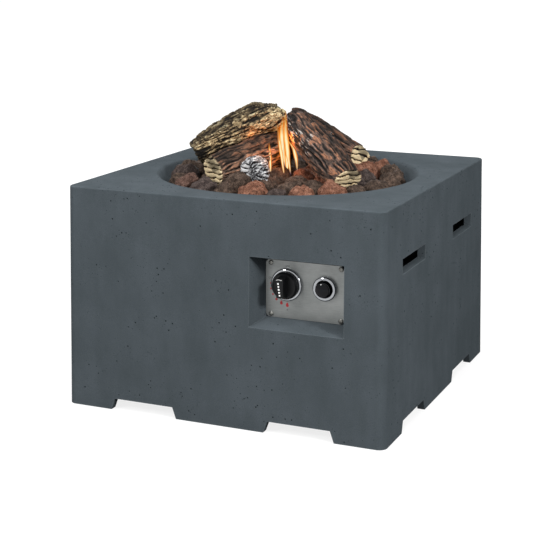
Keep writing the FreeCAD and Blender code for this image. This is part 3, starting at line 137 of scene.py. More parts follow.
@dataclass(frozen=True)
class Surface:
    """A material under construction: its tree, its shader and its object coordinates."""

    material: bpy.types.Material
    tree: bpy.types.NodeTree
    shader: bpy.types.Node
    place: bpy.types.NodeSocket

    @classmethod
    def start(cls, name: str, **values: object) -> "Surface":
        """Make a material whose shader takes these values.

        Args:
            name: the material's name.
            values: values of the shader's own sockets, with underscores for spaces.

        Returns:
            The surface, ready for its patterns.
        """
        material = bpy.data.materials.new(name)
        material.use_nodes = True
        shader = material.node_tree.nodes["Principled BSDF"]
        for key, value in values.items():
            shader.inputs[key.replace("_", " ")].default_value = value
        place = add_node(material.node_tree, "TexCoord", out="Object")
        return cls(material, material.node_tree, shader, place)

    def add(self, kind: str, *inputs: object, **named: object) -> bpy.types.NodeSocket:
        """Add a node to this material, as add_node does."""
        return add_node(self.tree, kind, *inputs, **named)

    def grain(self, pitch: float, detail: float = 3.0, stretch: Sequence[float] = (1, 1, 1),
              rough: float = 0.55, place: bpy.types.NodeSocket | None = None) -> bpy.types.NodeSocket:
        """Cloudy grain of a real size.

        Args:
            pitch: how far apart its features are, in millimetres.
            detail: how many finer layers it has.
            stretch: how many times longer it is along each axis.
            rough: how strong the finer layers are.
            place: other coordinates in metres than the object's own.

        Returns:
            A value that is mostly between 0.3 and 0.7.
        """
        scale = tuple(1 / (pitch * MM * times) for times in stretch)
        mapped = self.add("Mapping", place or self.place, Scale=scale)
        return self.add("TexNoise", mapped, 1.0, detail, rough)

    def cells(self, pitch: float, feature: str = "F1", stretch: Sequence[float] = (1, 1, 1),
              place: bpy.types.NodeSocket | None = None) -> bpy.types.NodeSocket:
        """Distances in a pattern of cells of a real size, counted in cells.

        Args:
            pitch: how large a cell is, in millimetres.
            feature: what the distance is to, such as F1 for the nearest middle.
            stretch: how many times longer the cells are along each axis.
            place: other coordinates in metres than the object's own.

        Returns:
            The distance.
        """
        scale = tuple(1 / (pitch * MM * times) for times in stretch)
        mapped = self.add("Mapping", place or self.place, Scale=scale)
        return self.add("TexVoronoi", mapped, 1.0, feature=feature)

    def wire(self, **sockets: bpy.types.NodeSocket) -> bpy.types.Material:
        """Link sockets to the shader.

        Args:
            sockets: what goes into the shader's own sockets, with underscores for spaces.

        Returns:
            The finished material.
        """
        for name, socket in sockets.items():
            self.tree.links.new(socket, self.shader.inputs[name.replace("_", " ")])
        return self.material


@dataclass(frozen=True)
class CastConcrete:
    """Through-coloured fibre concrete, cast in a mould.

    Matt and evenly grey with slow clouds, sharp sand underneath, scattered pin holes from air
    against the mould, darkened inside with painted shade, and arrises that are paler, partly rubbed
    and partly a painted highlight. The sand is about 0.5 mm in the real one, which is too fine to
    show, and is drawn coarser.
    """

    dark: str = "#464d51"
    pale: str = "#50575c"
    # Paler colour of the arrises: rubbed wear and a painted highlight
    worn_and_lit: str = "#6b7377"
    # Painted shade inside the pin holes
    pore_shade: str = "#1f2426"
    cloud_pitch: float = 110.0
    run_pitch: float = 30.0
    sand_pitch: float = 1.4
    pore_pitch: float = 11.5
    pore_radius: float = 1.7
    speck_pitch: float = 6.5
    speck_radius: float = 0.8
    patch_pitch: float = 55.0
    pore_depth: float = 0.9
    wave_pitch: float = 28.0
    wave_height: float = 1.0
    arris: float = 3.0

    def holes(self, s: Surface, pitch: float, radius: float, low: float) -> bpy.types.NodeSocket:
        """Round holes of one size, in patches.

        Args:
            s: the surface.
            pitch: how far apart the holes' middles are in the body of the concrete.
            radius: their radius.
            low: how much of the surface has none, from 0.3 for little to 0.7 for most.

        Returns:
            1 in a hole and 0 outside.
        """
        reach = radius / pitch
        spots = s.add("MapRange", s.cells(pitch), reach * 0.55, reach, 1.0, 0.0)
        patches = s.add("MapRange", s.grain(self.patch_pitch, detail=2.0), low, low + 0.05, 0.0, 1.0)
        return s.add("Math", spots, patches, operation="MULTIPLY")

    def material(self) -> bpy.types.Material:
        """Lay clouds, runs and sand, then pale the arrises with wear and a painted highlight, and open the
        pin holes, which are filled with painted shade.

        Returns:
            The concrete.
        """
        s = Surface.start("cast_concrete", Roughness=0.95, IOR=1.5, Specular_IOR_Level=0.0)
        clouds = s.grain(self.cloud_pitch, detail=6.0, rough=0.6)
        runs = s.grain(self.run_pitch, detail=4.0, stretch=(1, 1, 4))
        tone = s.add("MapRange", s.add("Mix", 0.35, clouds, runs), 0.36, 0.64, 0.0, 1.0)
        base = s.add("ValToRGB", tone, stops=[(0.0, self.dark), (1.0, self.pale)])
        sand = s.grain(self.sand_pitch, detail=2.0)
        specks = s.add("MapRange", sand, 0.36, 0.66, 0.92, 1.08)
        base = s.add("Mix", 1.0, base, specks, data_type="RGBA", blend_type="MULTIPLY")
        # Arrises paler, partly rubbed wear and partly a painted highlight along the rounded edge
        rounded = s.add("Bevel", self.arris * MM, samples=4)
        facing = s.add("NewGeometry", out="True Normal")
        match = s.add("VectorMath", rounded, facing, operation="DOT_PRODUCT", out="Value")
        rubbed_and_lit = s.add("MapRange", match, 0.985, 0.80, 0.0, 0.5)
        base = s.add("Mix", rubbed_and_lit, base, self.worn_and_lit, data_type="RGBA")
        large = self.holes(s, self.pore_pitch, self.pore_radius, 0.50)
        small = self.holes(s, self.speck_pitch, self.speck_radius, 0.46)
        holes = s.add("Math", large, small, operation="MAXIMUM")
        # Pin holes filled with painted shade
        colour = s.add("Mix", holes, base, self.pore_shade, data_type="RGBA")
        height = s.add("Math", s.add("Math", sand, 0.2, operation="MULTIPLY"), holes, operation="SUBTRACT")
        waves = s.add("Bump", 0.6, self.wave_height * MM, Height=s.grain(self.wave_pitch, detail=2.0))
        relief = s.add("Bump", 0.8, self.pore_depth * MM, Height=height, Normal=waves)
        return s.wire(Base_Color=colour, Normal=relief)


@dataclass(frozen=True)
class Metal:
    """A metal as it comes from the machine, press or plating bath, with its tool marks and dull patches."""

    name: str
    colour: str
    shade: str
    roughness: float
    mark_pitch: float = 0.6
    mark_stretch: tuple[float, float, float] = (1, 1, 1)
    mark_depth: float = 0.02
    patch_pitch: float = 12.0

    def material(self) -> bpy.types.Material:
        """Cut tool marks in the relief, and lay patches in the colour and the gloss.

        Returns:
            The metal.
        """
        s = Surface.start(self.name, Metallic=1.0)
        marks = s.grain(self.mark_pitch, detail=2.0, stretch=self.mark_stretch)
        tone = s.add("Mix", 0.5, s.grain(self.patch_pitch, detail=4.0), marks)
        tone = s.add("MapRange", tone, 0.36, 0.64, 0.0, 1.0)
        colour = s.add("ValToRGB", tone, stops=[(0.0, self.shade), (1.0, self.colour)])
        gloss = s.add("MapRange", tone, 0.0, 1.0, self.roughness * 1.2, self.roughness * 0.85)
        relief = s.add("Bump", 1.0, self.mark_depth * MM, Height=marks)
        return s.wire(Base_Color=colour, Roughness=gloss, Normal=relief)


@dataclass(frozen=True)
class Moulding:
    """A moulded or fired part with the fine texture of its mould and a faint bloom."""

    name: str
    colour: str
    bloom: str
    roughness: float
    texture_pitch: float = 0.5
    texture_depth: float = 0.02
    specular: float = 0.5
    bloom_pitch: float = 9.0

    def material(self) -> bpy.types.Material:
        """Press the mould's texture in the relief, and lay the bloom in the colour and the gloss.

        Returns:
            The moulded or fired material.
        """
        s = Surface.start(self.name, IOR=1.5, Specular_IOR_Level=self.specular)
        bloom = s.add("MapRange", s.grain(self.bloom_pitch, detail=4.0), 0.35, 0.7, 0.0, 1.0)
        colour = s.add("ValToRGB", bloom, stops=[(0.0, self.colour), (1.0, self.bloom)])
        gloss = s.add("MapRange", bloom, 0.0, 1.0, self.roughness * 0.85, self.roughness * 1.15)
        texture = s.grain(self.texture_pitch, detail=1.0)
        relief = s.add("Bump", 1.0, self.texture_depth * MM, Height=texture)
        return s.wire(Base_Color=colour, Roughness=gloss, Normal=relief)


class Stone(Enum):
    """Families of lava rock, as dark, middle and light colours."""

    BROWN = ("#1c1612", "#43372f", "#7c675a")
    RED = ("#38221a", "#744d3c", "#b08570")
    GREY = ("#201b1b", "#423835", "#6f625c")


@dataclass(frozen=True)
class Scoria:
    """Porous lava rock, broken and tumbled.

    Dull, with open bubbles darkened with painted shade, and pale crumbs on the walls between them.
    """

    bubble_pitch: float = 3.4
    bubble_depth: float = 1.6
    patch_pitch: float = 7.0
    crumb_pitch: float = 1.2
    mottle_pitch: float = 9.0
    red_from: float = 0.64
    grey_from: float = 0.82
    # Painted shade inside the bubbles
    bubble_shade: str = "#17110e"

    def drawn(self, s: Surface, tint: bpy.types.NodeSocket, start: float) -> bpy.types.NodeSocket:
        """Whether a rock's random draw, kept in its tint, is past a start: 1 or 0."""
        return s.add("MapRange", tint, start - 0.02, start + 0.02, 0.0, 1.0)

    def material(self) -> bpy.types.Material:
        """Colour each rock as one of three families of stone, with bubbles and crumbs.

        Returns:
            The lava rock.
        """
        s = Surface.start("scoria", Roughness=0.95, IOR=1.5, Specular_IOR_Level=0.2)
        crumbs = s.grain(self.crumb_pitch, detail=4.0, rough=0.7)
        mottle = s.grain(self.mottle_pitch, detail=5.0, rough=0.65)
        tone = s.add("MapRange", s.add("Mix", 0.45, crumbs, mottle), 0.36, 0.64, 0.0, 1.0)
        brown, red, grey = (s.add("ValToRGB", tone, stops=list(zip((0.0, 0.5, 1.0), stone.value)))
                            for stone in Stone)
        tint = s.add("Attribute", attribute_name="tint", out="Fac")
        colour = s.add("Mix", self.drawn(s, tint, self.red_from), brown, red, data_type="RGBA")
        colour = s.add("Mix", self.drawn(s, tint, self.grey_from), colour, grey, data_type="RGBA")
        spots = s.add("MapRange", s.cells(self.bubble_pitch), 0.18, 0.40, 1.0, 0.0)
        patches = s.add("MapRange", s.grain(self.patch_pitch), 0.38, 0.52, 0.0, 1.0)
        bubbles = s.add("Math", spots, patches, operation="MULTIPLY")
        pits = s.add("MapRange", s.add("Attribute", attribute_name="pit", out="Fac"), 0.2, 0.9, 0.0, 0.7)
        open_part = s.add("Math", bubbles, pits, operation="MAXIMUM")
        # Bubbles and pits darkened with painted shade
        colour = s.add("Mix", s.add("Math", open_part, 0.8, operation="MULTIPLY"), colour, self.bubble_shade,
                       data_type="RGBA")
        height = s.add("Math", crumbs, bubbles, operation="SUBTRACT")
        return s.wire(Base_Color=colour, Normal=s.add("Bump", 1.0, self.bubble_depth * MM, Height=height))


@dataclass(frozen=True)
class LogPaint:
    """High-temperature paint, brushed on a cast ceramic fibre log.

    Dark in the grooves, partly paint and partly painted shade, and lighter on the ridges, partly
    rubbed paint and partly a painted highlight, with cream cut ends and whitish ash. Char darkens
    it towards black, partly real char and partly painted shade.
    """

    name: str
    groove: str
    flank: str
    ridge: str
    crest: str
    crack_pitch: float
    crack_stretch: float
    crack_width: float
    crack_depth: float = 0.45
    # Near black for soot and cracks, and also painted shade deep in the grooves and under the char mask
    soot_and_shade: str = "#14110f"
    ash: str = "#a9a39d"
    cut: str = "#e6d2aa"
    cut_shade: str = "#a98d66"
    streak_pitch: float = 2.4
    streak_stretch: float = 6.0
    mottle_pitch: float = 6.5
    band_pitch: float = 13.0
    band_stretch: float = 5.0
    patch_pitch: float = 9.0
    stroke_depth: float = 0.8

    def material(self) -> bpy.types.Material:
        """Colour the log by its carving, with hair cracks and streaks that run along it.

        Returns:
            The painted ceramic.
        """
        s = Surface.start("ceramic_" + self.name, Roughness=0.9, IOR=1.5, Specular_IOR_Level=0.2)
        along = s.add("Attribute", attribute_name="grain", out="Vector")
        end, height, ash, char = (s.add("Attribute", attribute_name=name, out="Fac")
                                  for name in ("cut_end", "relief", "ash", "char"))
        mottle = s.grain(self.mottle_pitch, detail=5.0, rough=0.65)
        bands = s.grain(self.band_pitch, detail=3.0, stretch=(self.band_stretch, 1, 1), place=along)
        streaks = s.grain(self.streak_pitch, detail=3.0, stretch=(self.streak_stretch, 1, 1), rough=0.65,
                          place=along)
        # The relief sets the tone: darker in the grooves, partly paint and partly painted shade, lighter on
        # the crests, partly rubbed paint and partly a painted highlight
        worn_and_lit = s.add("Math", height, s.add("MapRange", mottle, 0.3, 0.7, -0.16, 0.12))
        worn_and_lit = s.add("Math", worn_and_lit, s.add("MapRange", bands, 0.35, 0.65, -0.16, 0.10))
        worn_and_lit = s.add("Math", worn_and_lit, s.add("MapRange", streaks, 0.32, 0.68, -0.24, 0.20), use_clamp=True)
        bark = s.add("ValToRGB", worn_and_lit, stops=[(0.0, self.soot_and_shade), (0.20, self.groove), (0.42, self.flank),
                                              (0.80, self.ridge), (1.0, self.crest)])
        cut = s.add("ValToRGB", worn_and_lit, stops=[(0.0, self.soot_and_shade), (0.30, self.soot_and_shade), (0.46, self.cut_shade),
                                             (0.72, self.cut)])
        edges = s.cells(self.crack_pitch, "DISTANCE_TO_EDGE", (self.crack_stretch, 1, 1), along)
        cracks = s.add("MapRange", edges, self.crack_width * 0.3, self.crack_width, 1.0, 0.0)
        patches = s.add("MapRange", s.grain(self.patch_pitch), 0.40, 0.56, 0.0, 1.0)
        cracks = s.add("Math", cracks, patches, operation="MULTIPLY")
        bark = s.add("Mix", s.add("Math", cracks, self.crack_depth, operation="MULTIPLY"), bark, self.soot_and_shade,
                     data_type="RGBA")
        colour = s.add("Mix", end, bark, cut, data_type="RGBA")
        strands = s.add("MapRange", s.add("Math", streaks, s.add("MapRange", height, 0.2, 1.0, -0.2, 0.0)),
                        0.46, 0.56, 0.0, 1.0)
        ashes = s.add("Mix", strands, self.groove, self.ash, data_type="RGBA")
        colour = s.add("Mix", ash, colour, ashes, data_type="RGBA")
        # Darken towards black under the char mask: partly real char, partly painted shade
        sooty_and_shaded = s.add("Math", char, s.add("MapRange", worn_and_lit, 0.35, 1.0, 1.0, 0.72), operation="MULTIPLY")
        colour = s.add("Mix", sooty_and_shaded, colour, self.soot_and_shade, data_type="RGBA")
        rise = s.add("Math", streaks, cracks, operation="SUBTRACT")
        return s.wire(Base_Color=colour, Normal=s.add("Bump", 1.0, self.stroke_depth * MM, Height=rise))


@dataclass(frozen=True)
class GasFlame:
    """Burning gas with soot in it: blue at the root, nearly white inside, orange at the edge and the tip."""

    strength: float = 1.15
    thickness: float = 0.9
    strand_width: float = 10 / 3
    strand_length: float = 500 / 11
    root: str = "#5a3f74"

    def material(self) -> bpy.types.Material:
        """Light that thins out towards the edges, the root and the tip.

        Returns:
            The flame.
        """
        material = bpy.data.materials.new("gas_flame")
        material.use_nodes = True
        tree = material.node_tree
        tree.nodes.clear()
        rise = add_node(tree, "Attribute", attribute_name="rise", out="Fac")
        core = add_node(tree, "Attribute", attribute_name="core", out="Fac")
        inner = add_node(tree, "MapRange", rise, 0.55, 1.0, 0.0, 0.45)
        middle = add_node(tree, "Math", core, 2.2, operation="POWER")
        heat = add_node(tree, "Math", middle, inner, operation="SUBTRACT", use_clamp=True)
        body = add_node(tree, "ValToRGB", heat, stops=[(0.0, "#b8430a"), (0.35, "#ea7d1e"), (0.66, "#ffb24a"),
                                                       (0.92, "#ffeebc")])
        root = add_node(tree, "MapRange", rise, 0.0, 0.14, 1.0, 0.0)
        colour = add_node(tree, "Mix", root, body, self.root, data_type="RGBA")
        glow = add_node(tree, "Emission", colour, self.strength)
        clear = add_node(tree, "BsdfTransparent")
        thick = add_node(tree, "MapRange", core, 0.0, 0.75, 0.0, 1.0)
        low = add_node(tree, "MapRange", rise, 0.0, 0.22, 0.25, 1.0)
        high = add_node(tree, "MapRange", rise, 0.6, 1.0, 1.0, 0.0)
        share = add_node(tree, "Math", low, high, operation="MULTIPLY")
        share = add_node(tree, "Math", share, thick, operation="MULTIPLY")
        place = add_node(tree, "TexCoord", out="Object")
        sizes = (self.strand_width, self.strand_width, self.strand_length)
        place = add_node(tree, "Mapping", place, Scale=tuple(1 / (size * MM) for size in sizes))
        wisps = add_node(tree, "MapRange", add_node(tree, "TexNoise", place, 1.0, 3.0), 0.36, 0.58, 0.30, 1.0)
        share = add_node(tree, "Math", share, wisps, operation="MULTIPLY")
        share = add_node(tree, "Math", share, self.thickness, operation="MULTIPLY")
        mixed = add_node(tree, "MixShader", share, clear, glow)
        add_node(tree, "OutputMaterial", mixed)
        return material


@dataclass(frozen=True)
class Ink:
    """Screen-printed enamel: a thin satin film of one colour that thins in spots."""

    name: str
    colour: str
    thin: str
    spot_pitch: float = 0.6

    def material(self) -> bpy.types.Material:
        """Thin the film in spots.

        Returns:
            The ink.
        """
        s = Surface.start("ink_" + self.name, Roughness=0.45)
        spots = s.add("MapRange", s.grain(self.spot_pitch, detail=2.0), 0.35, 0.7, 0.0, 1.0)
        return s.wire(Base_Color=s.add("ValToRGB", spots, stops=[(0.0, self.colour), (1.0, self.thin)]))


class Finish(Enum):
    """Every finish on the object, by what it is made of."""

    CONCRETE = CastConcrete()
    # Brushed sheet: soft grey, with lines across it that are drawn coarser than the real grit's 0.1 mm
    STAINLESS = Metal("brushed_stainless", "#868887", "#757877", roughness=0.45, mark_pitch=0.35,
                      mark_stretch=(50, 1, 1), mark_depth=0.010, patch_pitch=40.0)
    # Turned screw heads: small bright glints
    SCREW = Metal("turned_stainless", "#92928e", "#63635f", roughness=0.28)
    # Polished plating: a mirror that shows the white room and the dark body
    CHROME = Metal("chrome_plate", "#a9abae", "#8f9195", roughness=0.09, mark_pitch=0.8, mark_depth=0.002)
    # As cast: a dull, faintly pitted grey
    CASTING = Metal("die_cast_aluminium", "#a3a39f", "#7e7e7b", roughness=0.5, mark_pitch=1.2,
                    mark_depth=0.05)
    # Plated pressings: a bright, slightly cloudy grey
    ZINC = Metal("zinc_plated_steel", "#b4b6b2", "#8b8e88", roughness=0.36, mark_pitch=0.8)
    # Drawn wire: a narrow highlight along each turn
    SPRING = Metal("drawn_spring_wire", "#8f8f90", "#6d6d6e", roughness=0.3)
    # Turned from bar: warm yellow with fine rings
    BRASS = Metal("turned_brass", "#c9a557", "#a98439", roughness=0.3, mark_pitch=0.5,
                  mark_stretch=(1, 1, 4), mark_depth=0.015)
    # Drawn tube: a pale, soft shine along it
    TUBE = Metal("drawn_aluminium", "#b9babc", "#9a9b9d", roughness=0.34, mark_pitch=0.5,
                 mark_stretch=(1, 12, 1), mark_depth=0.01)
    # Steel that has been hot: brown and straw tints in patches
    BURNER = Metal("heat_tinted_steel", "#8a8072", "#5b4c46", roughness=0.48, mark_pitch=1.5,
                   mark_depth=0.04, patch_pitch=30.0)
    # Bare capillary: warm and slightly dulled
    COPPER = Metal("drawn_copper", "#b8714a", "#8d5234", roughness=0.35)
    # Moulded knob: deep black with a satin sheen
    KNOB = Moulding("moulded_nylon", "#050607", "#0a0b0d", roughness=0.42, texture_depth=0.01, specular=0.22)
    # Polished push button: black with sharp lamp glints
    BUTTON = Moulding("polished_abs", "#040509", "#080a10", roughness=0.08, texture_pitch=1.0,
                      texture_depth=0.002, specular=0.18)
    # Moulded housing: plain dark grey
    BARREL = Moulding("moulded_abs", "#17181a", "#232427", roughness=0.5)
    # Fired insulator: warm white with a dry surface
    CERAMIC = Moulding("fired_steatite", "#ddd8ca", "#c7c0af", roughness=0.55, texture_pitch=0.8)
    # Heatproof sleeve: dull brick red
    SILICONE = Moulding("silicone_sleeve", "#6b2620", "#5a1f1a", roughness=0.6)
    # Printed steel can: dark and smooth
    CELL = Moulding("lacquered_cell", "#23252b", "#33353c", roughness=0.3)
    ROCK = Scoria()
    # Brown bark, rubbed to tan on the crests, where the tan is partly a painted highlight
    BARK = LogPaint("bark", "#2e2724", "#5f4e44", "#7d6150", "#a87a5f",
                    crack_pitch=7.0, crack_stretch=6.0, crack_width=0.09)
    # Darker bark with red brown crests
    BARK_DARK = LogPaint("dark_bark", "#272322", "#4a3f39", "#685146", "#986a50",
                         crack_pitch=6.0, crack_stretch=6.0, crack_width=0.09)
    # Bare old wood, straw coloured between black cracks
    WEATHERED = LogPaint("weathered", "#342b1e", "#857155", "#b59e77", "#dccda6",
                         crack_pitch=4.4, crack_stretch=2.6, crack_width=0.10, crack_depth=0.85,
                         cut="#b3a37c", cut_shade="#6e6044", streak_pitch=2.8)
    # Burnt through: white ash on black
    ASH = LogPaint("ash", "#1b1b1d", "#68686b", "#bcbdbf", "#f6f6f5",
                   crack_pitch=3.2, crack_stretch=3.0, crack_width=0.12,
                   cut="#c6c6c6", cut_shade="#707073")
    FLAME = GasFlame()
    # Printing on the plate and the knob
    RED_INK = Ink("red", "#a3141c", "#8a1a20")
    WHITE_INK = Ink("white", "#ffffff", "#ecece8")
    BLACK_INK = Ink("black", "#26282a", "#3a3c3e")


MATERIALS: dict[Finish, bpy.types.Material] = {}


def dress(piece: bpy.types.Object, finish: Finish, sharp_angle: float | None = 35.0) -> None:
    """Give a piece its finish and smooth shading.

    Args:
        piece: the piece.
        finish: its finish.
        sharp_angle: edges sharper than this many degrees stay sharp; None smooths them all.
    """
    if finish not in MATERIALS:
        MATERIALS[finish] = finish.value.material()
    piece.data.materials.clear()
    piece.data.materials.append(MATERIALS[finish])
    if piece.type != "MESH":
        return
    count = len(piece.data.polygons)
    piece.data.polygons.foreach_set("material_index", [0] * count)
    piece.data.polygons.foreach_set("use_smooth", [True] * count)
    if sharp_angle is not None:
        piece.data.set_sharp_from_angle(angle=math.radians(sharp_angle))
        flats = piece.modifiers.new("flat_faces", "WEIGHTED_NORMAL")
        flats.keep_sharp = True


def add_object(name: str, data: bpy.types.ID) -> bpy.types.Object:
    """Put a new object in the scene, at the origin.

    Args:
        name: the object's name.
        data: its mesh, lettering, light or camera.

    Returns:
        The new object.
    """
    made = bpy.data.objects.new(name, data)
    bpy.context.scene.collection.objects.link(made)
    return made


def stand_in(piece: bpy.types.Object, node: str, body: str = "root") -> None:
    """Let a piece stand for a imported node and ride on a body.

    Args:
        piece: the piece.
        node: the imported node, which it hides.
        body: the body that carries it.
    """
    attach(piece, body)
    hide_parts(node)


def add_masks(mesh: bpy.types.Mesh, masks: dict[str, np.ndarray]) -> None:
    """Store values or vectors at a mesh's points.

    Args:
        mesh: the mesh.
        masks: one value or one vector for each point, under the name by which a material reads it.
    """
    for name, values in masks.items():
        kind = ("FLOAT", "value") if values.ndim == 1 else ("FLOAT_VECTOR", "vector")
        attribute = mesh.attributes.new(name, kind[0], "POINT")
        attribute.data.foreach_set(kind[1], values.astype(np.float32).ravel())


def new_piece(name: str, points: np.ndarray, faces: Iterable[Sequence[int]]) -> bpy.types.Object:
    """Make a mesh object in the scene.

    Args:
        name: the piece's name.
        points: its points in millimetres, one row each.
        faces: its faces, as point numbers.

    Returns:
        The new object, at the origin.
    """
    mesh = bpy.data.meshes.new(name)
    mesh.from_pydata((np.asarray(points, float) * MM).tolist(), [], [list(face) for face in faces])
    mesh.update()
    return add_object(name, mesh)


def read_vectors(mesh: bpy.types.Mesh, name: str) -> np.ndarray:
    """Read one vector for each point of a mesh.

    Args:
        mesh: the mesh.
        name: the vector's name in Blender, such as co or normal.

    Returns:
        The vectors, one row each.
    """
    values = np.zeros(len(mesh.vertices) * 3, np.float32)
    mesh.vertices.foreach_get(name, values)
    return values.reshape(-1, 3).astype(float)


def tube_faces(rings: int, sides: int) -> list[list[int]]:
    """Faces of a closed tube.

    Args:
        rings: how many rings of points it has, one after the other.
        sides: how many points run round each ring.

    Returns:
        Its faces, as point numbers, with a cap at both ends.
    """
    faces = [[ring * sides + side, ring * sides + (side + 1) % sides,
              (ring + 1) * sides + (side + 1) % sides, (ring + 1) * sides + side]
             for ring in range(rings - 1) for side in range(sides)]
    return faces + [list(range(sides))[::-1], [(rings - 1) * sides + side for side in range(sides)]]


def smooth_step(values: np.ndarray, low: float, high: float) -> np.ndarray:
    """Rise smoothly from 0 at one value to 1 at another."""
    share = np.clip((values - low) / (high - low), 0, 1)
    return share * share * (3 - 2 * share)


def noise_places(points: np.ndarray, pitch: float, seed: float) -> Iterable[Vector]:
    """Where points lie in a noise of this pitch, shifted to the pattern that a seed picks."""
    shift = Vector((seed, seed * 1.7, seed * 2.3))
    return (Vector(place) + shift for place in (points / pitch).tolist())


def noise_at(points: np.ndarray, pitch: float, octaves: int = 3, seed: float = 0.0,
             smooth: float = 1.0) -> np.ndarray:
    """Fractal noise at points.

    Args:
        points: the points in millimetres.
        pitch: how far apart its features are.
        octaves: how many layers it has.
        seed: a number that picks the pattern.
        smooth: how much weaker each finer layer is; 1 is smooth and 0.5 is rough.

    Returns:
        A value from about -1 to 1 for each point.
    """
    return np.array([noise.fractal(place, smooth, 2.0, octaves)
                     for place in noise_places(points, pitch, seed)])


def cell_distances(points: np.ndarray, pitch: float, seed: float = 0.0) -> np.ndarray:
    """Distances to the nearest and next nearest cell middle, in cells, one row for each point."""
    return np.array([noise.voronoi(place)[0][:2] for place in noise_places(points, pitch, seed)])


class Carving(Enum):
    """How the surface of a log is carved."""

    BARK = "long wavy plates of bark"
    CHARRED = "small blocks between short cracks"


